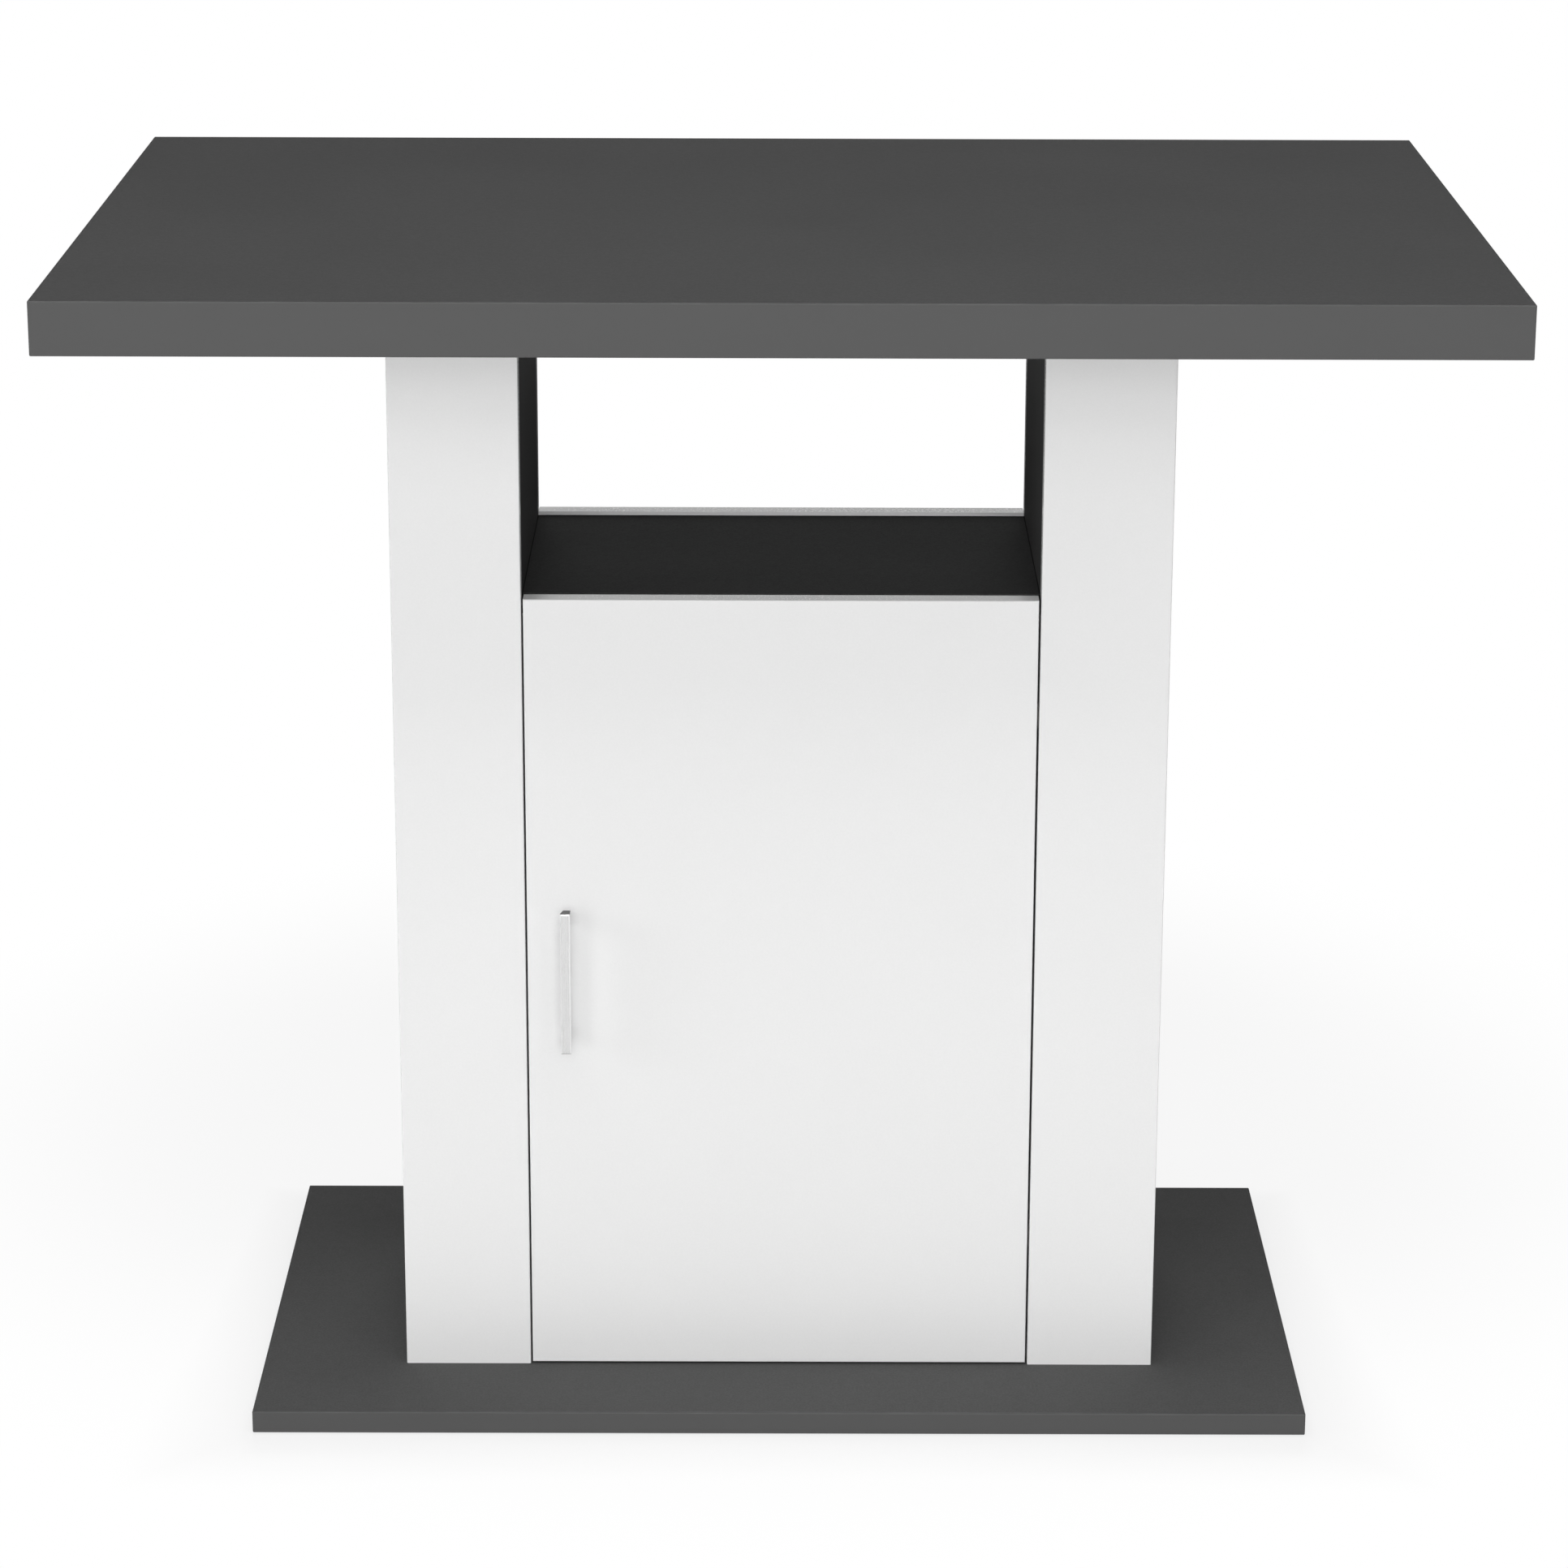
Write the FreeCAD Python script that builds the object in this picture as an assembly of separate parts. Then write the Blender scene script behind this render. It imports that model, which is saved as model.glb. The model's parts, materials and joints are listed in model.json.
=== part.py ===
import FreeCAD, Part
import math
import os

# A kitchen island: a thick worktop on a column of two hollow legs, with an open niche between them,
# a cupboard with one inset door below it, and a flat base board. All lengths are in millimetres.
# X runs to the right as seen from the door's side, Y to the back and Z up. The origin is on the
# floor, under the middle of the worktop. The door's side faces -Y.

# Worktop
TOP_LENGTH = 1070.0
TOP_DEPTH = 720.0
TOP_THICK = 40.0
TOP_HEIGHT = 930.0

# Base board and its glides
BASE_LENGTH = 830.0
BASE_DEPTH = 480.0
BASE_THICK = 18.0
GLIDE_THICK = 1.5
GLIDE_RADIUS = 10.0
GLIDE_INSET = 32.0

# Column between base board and worktop
COLUMN_WIDTH = 600.0
COLUMN_DEPTH = 290.0
STRIP_WIDTH = 100.0
STRIP_THICK = 16.0
BOARD = 16.0
NICHE_HEIGHT = 234.0
REAR_PANEL_PROUD = 3.0
REAR_PANEL_GAP = 0.5
CLEAT_THICK = 16.0

# Edge bands, and the rounding of the edges that show
EDGING = 2.0
EDGE_ROUND = 1.0

# Cabinet shelf and its pins in the rows of holes
SHELF_THICK = 16.0
SHELF_RISE = 300.0
SHELF_SIDE_GAP = 1.0
SHELF_FRONT_GAP = 14.0
SHELF_BACK_GAP = 2.0
PIN_ROW_INSET = 37.0
PIN_ROW_PITCH = 32.0
PIN_ROW_COUNT = 5
PIN_RADIUS = 2.5
PIN_DEPTH = 9.0
PIN_REACH = 9.0
PIN_COLLAR_RADIUS = 4.0
PIN_COLLAR_THICK = 1.2

# Door in the opening
DOOR_THICK = 16.0
DOOR_HINGE_GAP = 1.7
DOOR_LATCH_GAP = 1.5
DOOR_FOOT_GAP = 1.5

# Bar handle, fastened by two screws from inside the door
HANDLE_SPACING = 96.0
HANDLE_END = 10.0
HANDLE_INSET = 30.5
HANDLE_CENTRE_RISE = 330.5
HANDLE_FACE = 8.5
HANDLE_BACK = 6.0
HANDLE_THICK = 10.0
HANDLE_REACH = 25.0
HANDLE_BEVEL = 1.3
POST_WIDTH = 5.0
POST_HEIGHT = 9.0
POST_ROUND = 1.5

# Concealed hinge: a cup in the door, a pin across it and a swan-neck arm on a mounting plate
HINGE_END_DISTANCE = 100.0
CUP_RADIUS = 17.5
CUP_DEPTH = 13.0
CUP_WALL = 1.0
CUP_FLOOR = 0.6
CUP_EDGE_WEB = 4.5
CUP_FLANGE_THICK = 1.2
CUP_FLANGE_RIM = 1.0
CUP_EAR_SPACING = 48.0
CUP_EAR_OFFSET = 6.0
CUP_EAR_RADIUS = 6.0
HINGE_PIN_RADIUS = 1.0
HINGE_PIN_INSET = 10.0
HINGE_PIN_DEPTH = 6.2
HUB_WALL = 1.2
CHEEK_THICK = 4.4
CHEEK_HALF_WIDTH = 3.4
CHEEK_RISE = 3.0
NECK_WIDTH = 12.0
NECK_THICK = 2.5
NECK_BEND = 3.0
ARM_WIDTH = 16.0
ARM_THICK = 4.0
ARM_WALL = 1.2
ARM_LENGTH = 42.0
PLATE_THICK = 2.5
PLATE_WING_SPACING = 32.0
PLATE_WING_RADIUS = 6.5
PLATE_SCREW_INSET = 37.0
PLATE_TAIL = 12.0
ARM_SCREW_SPACING = 17.0

# Magnetic catch under the niche floor, and its strike plate on the door
CATCH_INSET = 50.0
CATCH_LENGTH = 45.0
CATCH_HOUSING = 26.0
CATCH_DEPTH = 15.0
CATCH_HEIGHT = 12.0
CATCH_FLANGE = 3.0
CATCH_CORNER = 3.0
CATCH_SCREW_SPACING = 35.5
MAGNET_LENGTH = 18.0
MAGNET_DEPTH = 9.0
MAGNET_HEIGHT = 4.0
POLE_THICK = 1.0
POLE_PROUD = 0.8
STRIKE_LENGTH = 38.0
STRIKE_HEIGHT = 12.0
STRIKE_THICK = 1.2

# Door bumpers: domes on the back of the door, level with the niche floor's edge
BUMPER_RADIUS = 5.0
BUMPER_RIM = 1.5
BUMPER_INSET = 70.0

# Wooden dowels
DOWEL_RADIUS = 4.0
DOWEL_IN_STRIP = 11.0
DOWEL_IN_PANEL = 19.0
DOWEL_IN_EDGE = 14.0
DOWEL_HEIGHT_SHARES = (0.15, 0.85)
FLOOR_DOWEL_SHARES = (-0.3, 0.3)

# Cam fittings between niche floor and rear panel
CAM_RADIUS = 7.5
CAM_DEPTH = 12.5
CAM_BACK_INSET = 24.0
CAM_SIDE_INSET = 60.0
CAM_SLOT = 7.0
CAM_BOLT_RADIUS = 2.6
CAM_BOLT_HEAD_RADIUS = 3.2
CAM_BOLT_HEAD = 3.0
CAM_BOLT_THREAD = 10.0

# Screws, each as shank radius, length under the head, head radius and head height
TOP_SCREW = (2.5, 35.0, 4.8, 2.6)
BASE_SCREW = (2.5, 32.0, 4.8, 2.6)
PANEL_SCREW = (2.5, 52.0, 4.8, 2.6)
PLATE_SCREW = (2.5, 13.0, 3.8, 1.8)
CUP_SCREW = (1.6, 12.0, 3.6, 1.7)
ARM_SCREW = (2.0, 4.6, 3.2, 1.5)
CATCH_SCREW = (1.5, 14.0, 3.0, 1.8)
STRIKE_SCREW = (1.5, 12.0, 3.0, 1.6)
HANDLE_SCREW = (2.0, 24.0, 4.0, 2.4)
CLEAT_SCREW_SHARES = (-0.36, 0.0, 0.36)
HEAD_FLAT_SHARE = 0.6
SCREW_TIP_SHARE = 0.35

# Clearances, and the overrun of every cut
FIT = 0.1
RUNNING = 0.05
STOP_GAP = 0.3
SWING_GAP = 0.4
OVER = 5.0

# Levels
BASE_TOP = GLIDE_THICK + BASE_THICK
TOP_LOW = TOP_HEIGHT - TOP_THICK
FLOOR_TOP = TOP_LOW - NICHE_HEIGHT
FLOOR_LOW = FLOOR_TOP - BOARD
SHELF_LOW = BASE_TOP + SHELF_RISE
DOOR_LOW = BASE_TOP + DOOR_FOOT_GAP
DOOR_HIGH = FLOOR_TOP
HINGE_HEIGHTS = {"lower": DOOR_LOW + HINGE_END_DISTANCE, "upper": DOOR_HIGH - HINGE_END_DISTANCE}
HANDLE_CENTRE = DOOR_LOW + HANDLE_CENTRE_RISE

# Depths, from front to back
FRONT = -COLUMN_DEPTH / 2
PANEL_FRONT = FRONT + STRIP_THICK
PANEL_BACK = -PANEL_FRONT
BACK = -FRONT
DOOR_BACK = FRONT + DOOR_THICK

# Places across the column
HALF_COLUMN = COLUMN_WIDTH / 2
HALF_OPENING = HALF_COLUMN - STRIP_WIDTH
HALF_INNER = HALF_OPENING + BOARD
LEG_HOLLOW = HALF_COLUMN - BOARD
DOOR_RIGHT = HALF_OPENING - DOOR_HINGE_GAP
DOOR_LEFT = DOOR_LATCH_GAP - HALF_OPENING

# Door's pivot, and how far the door's corners swing round it
PIN_X = DOOR_RIGHT - HINGE_PIN_INSET
PIN_Y = FRONT + HINGE_PIN_DEPTH
DOOR_BEHIND_PIN = DOOR_BACK - PIN_Y
REAR_CORNER_REACH = math.hypot(HINGE_PIN_INSET, DOOR_BEHIND_PIN)
ROUND_INSET = HINGE_PIN_INSET - EDGE_ROUND
ROUND_DEPTH = HINGE_PIN_DEPTH - EDGE_ROUND
FRONT_CORNER_REACH = math.hypot(ROUND_INSET, ROUND_DEPTH) + EDGE_ROUND
SWING_SETBACK = REAR_CORNER_REACH - DOOR_BEHIND_PIN + SWING_GAP
NICHE_FLOOR_FRONT = DOOR_BACK + SWING_SETBACK
CUP_X = DOOR_RIGHT - CUP_EDGE_WEB - CUP_RADIUS

# Swan neck of the hinge arm: the bend that clears the door's corner, and where the arm's body starts
NECK_HALF = NECK_THICK / 2
NECK_SWEEP = REAR_CORNER_REACH + SWING_GAP + NECK_HALF
ARM_Y = PIN_Y + NECK_BEND + NECK_SWEEP - NECK_HALF
PLATE_FACE_X = HALF_OPENING - PLATE_THICK
ARM_FACE_X = PLATE_FACE_X - ARM_THICK
PLATE_SCREW_Y = PANEL_FRONT + PLATE_SCREW_INSET
HUB_RADIUS = HINGE_PIN_RADIUS + RUNNING + HUB_WALL

# Magnetic catch
CATCH_X = CATCH_INSET - HALF_OPENING
STRIKE_FACE_Y = DOOR_BACK + STRIKE_THICK
POLE_FRONT_Y = STRIKE_FACE_Y + STOP_GAP
CATCH_FRONT_Y = POLE_FRONT_Y + POLE_PROUD
MAGNET_CENTRE_Z = FLOOR_LOW - (CATCH_FLANGE + CATCH_HEIGHT) / 2

UP = FreeCAD.Vector(0, 0, 1)
DOWN = FreeCAD.Vector(0, 0, -1)
RIGHT = FreeCAD.Vector(1, 0, 0)
BACKWARD = FreeCAD.Vector(0, 1, 0)
FORWARD = FreeCAD.Vector(0, -1, 0)


def at(x, y, z):
    """A point."""
    return FreeCAD.Vector(x, y, z)


def block(x, y, z):
    """A block from its two limits along each axis, in either order."""
    low = [min(limits) for limits in (x, y, z)]
    size = [max(limits) - min(limits) for limits in (x, y, z)]
    return Part.makeBox(size[0], size[1], size[2], at(*low))


def rod(start, direction, length, radius):
    """A round bar from a point along a direction."""
    return Part.makeCylinder(radius, length, start, direction)


def revolved(wire, start, direction):
    """A solid turned about an axis, from a closed half outline in the plane of X and Z."""
    solid = Part.Face(wire).revolve(at(0, 0, 0), UP, 360)
    solid.Placement = FreeCAD.Placement(start, FreeCAD.Rotation(UP, direction))
    return solid


def turned(outline, start, direction):
    """A turned solid with straight sides, from corners given as radius and distance along the axis."""
    corners = [at(radius, 0, along) for radius, along in outline]
    return revolved(Part.makePolygon(corners + corners[:1]), start, direction)


def prism(edges, start, sweep):
    """A solid from a closed outline of edges, moved to a point and swept along a vector."""
    face = Part.Face(Part.Wire(edges))
    face.translate(start)
    return face.extrude(sweep)


def line(start, end):
    """A straight edge."""
    return Part.LineSegment(start, end).toShape()


def arc(start, middle, end):
    """A round edge through three points."""
    return Part.Arc(start, middle, end).toShape()


def polar(centre, radius, degrees):
    """A point in plan at an angle round a centre."""
    turn = math.radians(degrees)
    return centre + at(radius * math.cos(turn), radius * math.sin(turn), 0)


def lies_at(edge, axis, place):
    """Whether both ends of an edge lie in the plane at a place along an axis."""
    return all(abs(corner.Point[axis] - place) < FIT for corner in edge.Vertexes)


def runs_along(edge, axis):
    """Whether an edge runs along an axis."""
    ends = [corner.Point[axis] for corner in edge.Vertexes]
    return max(ends) - min(ends) > FIT


def cut(solid, tools):
    """The solid with each tool taken away."""
    return solid.cut(Part.makeCompound(tools)) if tools else solid


def pan_screw(sizes, seat, direction):
    """A screw with a domed head that sits on a surface and points along a direction."""
    shank, length, head, height = sizes
    return turned([
        (0, -height), (head * HEAD_FLAT_SHARE, -height), (head, -height * HEAD_FLAT_SHARE), (head, 0),
        (shank, 0), (shank, length - shank), (shank * SCREW_TIP_SHARE, length), (0, length),
    ], seat, direction)


def flush_screw(sizes, seat, direction):
    """A countersunk screw, its flat head level with a surface."""
    shank, length, head, height = sizes
    return turned([
        (0, 0), (head, 0), (shank, height), (shank, length - shank),
        (shank * SCREW_TIP_SHARE, length), (0, length),
    ], seat, direction)


def screw_hole(sizes, seat, direction):
    """The hole for a screw's shank, as deep as the screw is long."""
    shank, length = sizes[:2]
    return rod(seat - direction * OVER, direction, OVER + length + FIT, shank + FIT)


def sunk_hole(sizes, seat, direction):
    """The hole for a countersunk screw, with the cone for its head."""
    shank, length, head, height = sizes
    cone = turned([
        (0, 0), (head + FIT, 0), (shank + FIT, height), (0, height),
    ], seat, direction)
    mouth = rod(seat - direction * OVER, direction, OVER, head + FIT)
    return screw_hole(sizes, seat, direction).fuse([cone, mouth])


def save(name, solids):
    """Writes one sub-part, from a single solid or a group of them."""
    shape = solids[0] if len(solids) == 1 else Part.makeCompound(solids)
    shape.exportStep("parts/" + name + ".step")
    print(name, len(shape.Solids), "solids", round(shape.Volume), "mm3")


def edged_board(length, depth, low, high):
    """A board's core and its four edge bands, with the outer edges rounded."""
    x = length / 2
    y = depth / 2
    core = block((EDGING - x, x - EDGING), (EDGING - y, y - EDGING), (low, high))
    bands = []
    for side in (-1, 1):
        inner = side * (y - EDGING)
        band = block((-x, x), (inner, side * y), (low, high))
        edges = [edge for edge in band.Edges if not lies_at(edge, 1, inner)]
        bands.append(band.makeFillet(EDGE_ROUND, edges))
    end_band = y - EDGING - FIT
    for side in (-1, 1):
        outer = side * x
        band = block((outer, side * (x - EDGING)), (-end_band, end_band), (low, high))
        edges = [edge for edge in band.Edges if lies_at(edge, 0, outer) and runs_along(edge, 1)]
        bands.append(band.makeFillet(EDGE_ROUND, edges))
    return core, bands


def leg_board(side, near, far, low, high):
    """A board in the depth between a leg's strips, from its nearer and farther face across the column."""
    return block((side * near, side * far), (PANEL_FRONT, PANEL_BACK), (low, high))


def cleat_screw_places(level):
    """Where the screws go through the cleats of both legs, at a level."""
    x = (HALF_INNER + LEG_HOLLOW) / 2
    return [
        at(side * x, share * (PANEL_BACK - PANEL_FRONT), level)
        for side in (-1, 1) for share in CLEAT_SCREW_SHARES
    ]


def cam_places():
    """Where the cam fittings stand, on the underside of the niche floor."""
    x = HALF_OPENING - CAM_SIDE_INSET
    return [at(side * x, PANEL_BACK - CAM_BACK_INSET, FLOOR_LOW) for side in (-1, 1)]


def rear_screw_places():
    """Where the screws go up through the base board into the rear panel."""
    x = HALF_OPENING - CAM_SIDE_INSET
    return [at(side * x, BACK - STRIP_THICK / 2, GLIDE_THICK) for side in (-1, 1)]


def panel_levels():
    """The upright panels of a leg: the middle of each one's thickness, its foot and its head."""
    inner = (HALF_OPENING + HALF_INNER) / 2
    outer = (LEG_HOLLOW + HALF_COLUMN) / 2
    return {
        "outer": (outer, BASE_TOP, TOP_LOW),
        "cabinet": (inner, BASE_TOP, FLOOR_LOW),
        "niche": (inner, FLOOR_TOP, TOP_LOW),
    }


def leg_dowel_places(side, end, panel=None):
    """Where dowels join the strip at one end of a leg to its panels, on the strip's inner face."""
    chosen = {name: level for name, level in panel_levels().items() if panel in (None, name)}
    return [
        at(side * x, end * PANEL_BACK, low + share * (high - low))
        for x, low, high in chosen.values() for share in DOWEL_HEIGHT_SHARES
    ]


def leg_dowel(place, end, extra):
    """A dowel from strip to panel, or with extra the hole for it."""
    start = place + BACKWARD * (end * (DOWEL_IN_STRIP + extra))
    length = DOWEL_IN_STRIP + DOWEL_IN_PANEL + extra + extra
    return rod(start, BACKWARD * -end, length, DOWEL_RADIUS + extra)


def floor_dowel_places():
    """Where long dowels pass through the niche floor's ends into the panels below and above."""
    x = (HALF_OPENING + HALF_INNER) / 2
    depth = PANEL_BACK - PANEL_FRONT
    return [at(side * x, share * depth, FLOOR_LOW) for side in (-1, 1) for share in FLOOR_DOWEL_SHARES]


def floor_dowel(place, extra):
    """A dowel through the niche floor, or with extra the hole for it."""
    length = BOARD + DOWEL_IN_EDGE + DOWEL_IN_EDGE + extra + extra
    return rod(place + DOWN * (DOWEL_IN_EDGE + extra), UP, length, DOWEL_RADIUS + extra)


def floor_dowel_holes():
    """The holes of the dowels through the niche floor, each one as long as its dowel."""
    return [floor_dowel(place, FIT) for place in floor_dowel_places()]


def pin_row_levels():
    """The heights of one row of shelf-pin holes, with the shelf's own pins in the middle one."""
    middle = (PIN_ROW_COUNT - 1) / 2
    level = SHELF_LOW - PIN_RADIUS
    return [level + (index - middle) * PIN_ROW_PITCH for index in range(PIN_ROW_COUNT)]


def pin_row_depths():
    """The two upright rows of shelf-pin holes in each cabinet side."""
    return (PANEL_FRONT + PIN_ROW_INSET, PANEL_BACK - PIN_ROW_INSET)


def plate_screw_places(height):
    """Where a hinge's mounting plate is screwed to the cabinet side."""
    half = PLATE_WING_SPACING / 2
    return [at(HALF_OPENING, PLATE_SCREW_Y, height + sign * half) for sign in (-1, 1)]


def cup_screw_places(height):
    """Where a hinge's cup is screwed to the back of the door."""
    x = CUP_X - CUP_EAR_OFFSET
    half = CUP_EAR_SPACING / 2
    return [at(x, DOOR_BACK, height + sign * half) for sign in (-1, 1)]


def handle_screw_places():
    """Where the handle's screws enter the back of the door."""
    x = DOOR_LEFT + HANDLE_INSET
    half = HANDLE_SPACING / 2
    return [at(x, DOOR_BACK, HANDLE_CENTRE + sign * half) for sign in (-1, 1)]


def catch_screw_places():
    """Where the catch is screwed up into the niche floor, on the flange's lower face."""
    y = CATCH_FRONT_Y + CATCH_DEPTH / 2
    half = CATCH_SCREW_SPACING / 2
    return [at(CATCH_X + sign * half, y, FLOOR_LOW - CATCH_FLANGE) for sign in (-1, 1)]


def worktop():
    """The worktop board with its edge bands."""
    core, bands = edged_board(TOP_LENGTH, TOP_DEPTH, TOP_LOW, TOP_HEIGHT)
    holes = [screw_hole(TOP_SCREW, place, UP) for place in cleat_screw_places(TOP_LOW - CLEAT_THICK)]
    save("worktop_board", [cut(core, holes)])
    save("worktop_edging", bands)


def base():
    """The base board with its edge bands and the glides that it stands on."""
    core, bands = edged_board(BASE_LENGTH, BASE_DEPTH, GLIDE_THICK, BASE_TOP)
    holes = [sunk_hole(BASE_SCREW, place, UP) for place in cleat_screw_places(GLIDE_THICK)]
    holes += [sunk_hole(PANEL_SCREW, place, UP) for place in rear_screw_places()]
    save("base_board", [cut(core, holes)])
    save("base_edging", bands)
    x = BASE_LENGTH / 2 - GLIDE_INSET
    y = BASE_DEPTH / 2 - GLIDE_INSET
    places = [at(along * x, side * y, 0) for along in (-1, 0, 1) for side in (-1, 1)]
    save("base_glides", [rod(place, UP, GLIDE_THICK, GLIDE_RADIUS) for place in places])


def strips():
    """The four upright strips that face the legs in front and behind."""
    for side, hand in ((-1, "left"), (1, "right")):
        across = (side * HALF_OPENING, side * HALF_COLUMN)
        for end, name in ((-1, "front"), (1, "rear")):
            face = end * BACK
            strip = block(across, (end * PANEL_BACK, face), (BASE_TOP, TOP_LOW))
            edges = [edge for edge in strip.Edges if lies_at(edge, 1, face) and runs_along(edge, 2)]
            holes = [leg_dowel(place, end, FIT) for place in leg_dowel_places(side, end)]
            save(name + "_strip_" + hand, [cut(strip.makeFillet(EDGE_ROUND, edges), holes)])


def panel_dowel_holes(side, panel):
    """The dowel holes in the front and rear edges of an upright panel."""
    return [
        leg_dowel(place, end, FIT)
        for end in (-1, 1) for place in leg_dowel_places(side, end, panel)
    ]


def outer_sides():
    """The white panels that close the legs at the column's ends."""
    for side, hand in ((-1, "left"), (1, "right")):
        panel = leg_board(side, LEG_HOLLOW, HALF_COLUMN, BASE_TOP, TOP_LOW)
        save("outer_side_" + hand, [cut(panel, panel_dowel_holes(side, "outer"))])


def niche():
    """The niche floor and the two niche sides standing on its ends."""
    for side, hand in ((-1, "left"), (1, "right")):
        panel = leg_board(side, HALF_OPENING, HALF_INNER, FLOOR_TOP, TOP_LOW)
        save("niche_side_" + hand, [cut(panel, panel_dowel_holes(side, "niche") + floor_dowel_holes())])
    floor = block((-HALF_INNER, HALF_INNER), (PANEL_FRONT, PANEL_BACK), (FLOOR_LOW, FLOOR_TOP))
    setback = block(
        (-HALF_OPENING, HALF_OPENING), (PANEL_FRONT - OVER, NICHE_FLOOR_FRONT),
        (FLOOR_LOW - OVER, FLOOR_TOP + OVER),
    )
    holes = floor_dowel_holes()
    for place in cam_places():
        holes.append(rod(place + DOWN * OVER, UP, OVER + CAM_DEPTH + FIT, CAM_RADIUS + FIT))
        holes.append(cam_bolt_hole(place))
    holes += [screw_hole(CATCH_SCREW, place, UP) for place in catch_screw_places()]
    save("niche_floor", [cut(floor, [setback] + holes)])


def cabinet_sides():
    """The white panels below the niche floor, with rows of shelf-pin holes and the hinges' screw holes."""
    for side, hand in ((-1, "left"), (1, "right")):
        panel = leg_board(side, HALF_OPENING, HALF_INNER, BASE_TOP, FLOOR_LOW)
        holes = panel_dowel_holes(side, "cabinet") + floor_dowel_holes()
        for y in pin_row_depths():
            for z in pin_row_levels():
                mouth = at(side * (HALF_OPENING - OVER), y, z)
                holes.append(rod(mouth, RIGHT * side, OVER + PIN_DEPTH + FIT, PIN_RADIUS + FIT))
        if side > 0:
            for height in HINGE_HEIGHTS.values():
                heads = [place + RIGHT * -PLATE_THICK for place in plate_screw_places(height)]
                holes += [screw_hole(PLATE_SCREW, head, RIGHT) for head in heads]
        save("cabinet_side_" + hand, [cut(panel, holes)])


def rear_panel():
    """The fixed white panel behind the cupboard, a little higher than the niche floor."""
    half = HALF_OPENING - REAR_PANEL_GAP
    head = FLOOR_TOP + REAR_PANEL_PROUD
    panel = block((-half, half), (BACK - STRIP_THICK, BACK), (BASE_TOP, head))
    holes = [cam_bolt_hole(place) for place in cam_places()]
    holes += [screw_hole(PANEL_SCREW, place, UP) for place in rear_screw_places()]
    save("rear_panel", [cut(panel, holes)])


def shelf():
    """The cabinet shelf, resting on four pins with flattened tops."""
    half = HALF_OPENING - SHELF_SIDE_GAP
    depth = (DOOR_BACK + SHELF_FRONT_GAP, PANEL_BACK - SHELF_BACK_GAP)
    save("cabinet_shelf", [block((-half, half), depth, (SHELF_LOW, SHELF_LOW + SHELF_THICK))])
    pins = []
    for side in (-1, 1):
        for y in pin_row_depths():
            face = at(side * HALF_OPENING, y, SHELF_LOW - PIN_RADIUS)
            pin = turned([
                (0, -PIN_DEPTH), (PIN_RADIUS, -PIN_DEPTH), (PIN_RADIUS, 0), (PIN_COLLAR_RADIUS, 0),
                (PIN_COLLAR_RADIUS, PIN_COLLAR_THICK), (PIN_RADIUS, PIN_COLLAR_THICK),
                (PIN_RADIUS, PIN_REACH), (0, PIN_REACH),
            ], face, RIGHT * -side)
            room = block(
                (side * half, side * (HALF_OPENING - PIN_REACH - OVER)),
                (y - PIN_COLLAR_RADIUS - OVER, y + PIN_COLLAR_RADIUS + OVER),
                (SHELF_LOW, SHELF_LOW + PIN_COLLAR_RADIUS + OVER),
            )
            pins.append(pin.cut(room))
    save("shelf_pins", pins)


def cleats():
    """The cleats glued inside the legs at head and foot, which the worktop and base are screwed to."""
    low = TOP_LOW - CLEAT_THICK
    top_holes = [screw_hole(TOP_SCREW, place, UP) for place in cleat_screw_places(low)]
    foot_holes = [screw_hole(BASE_SCREW, place, UP) for place in cleat_screw_places(GLIDE_THICK)]
    for side, hand in ((-1, "left"), (1, "right")):
        top = leg_board(side, HALF_INNER, LEG_HOLLOW, low, TOP_LOW)
        save("top_cleat_" + hand, [cut(top, top_holes)])
        foot = leg_board(side, HALF_INNER, LEG_HOLLOW, BASE_TOP, BASE_TOP + CLEAT_THICK)
        save("bottom_cleat_" + hand, [cut(foot, foot_holes)])


def board_fasteners():
    """The screws and dowels that hold the boards together."""
    top_places = cleat_screw_places(TOP_LOW - CLEAT_THICK)
    save("worktop_screws", [pan_screw(TOP_SCREW, place, UP) for place in top_places])
    save("base_screws", [flush_screw(BASE_SCREW, place, UP) for place in cleat_screw_places(GLIDE_THICK)])
    save("rear_panel_screws", [flush_screw(PANEL_SCREW, place, UP) for place in rear_screw_places()])
    dowels = []
    for side in (-1, 1):
        for end in (-1, 1):
            dowels += [leg_dowel(place, end, 0) for place in leg_dowel_places(side, end)]
    save("leg_dowels", dowels)
    save("floor_dowels", [floor_dowel(place, 0) for place in floor_dowel_places()])


def cam_bolt_axis(place):
    """The point where a cam bolt crosses the joint between niche floor and rear panel."""
    return at(place.x, PANEL_BACK, FLOOR_LOW + BOARD / 2)


def cam_bolt_hole(place):
    """The hole for a cam bolt, from the cam through the joint into the rear panel."""
    start = cam_bolt_axis(place) + FORWARD * CAM_BACK_INSET
    return rod(start, BACKWARD, CAM_BACK_INSET + CAM_BOLT_THREAD + FIT, CAM_BOLT_HEAD_RADIUS + FIT)


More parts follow.
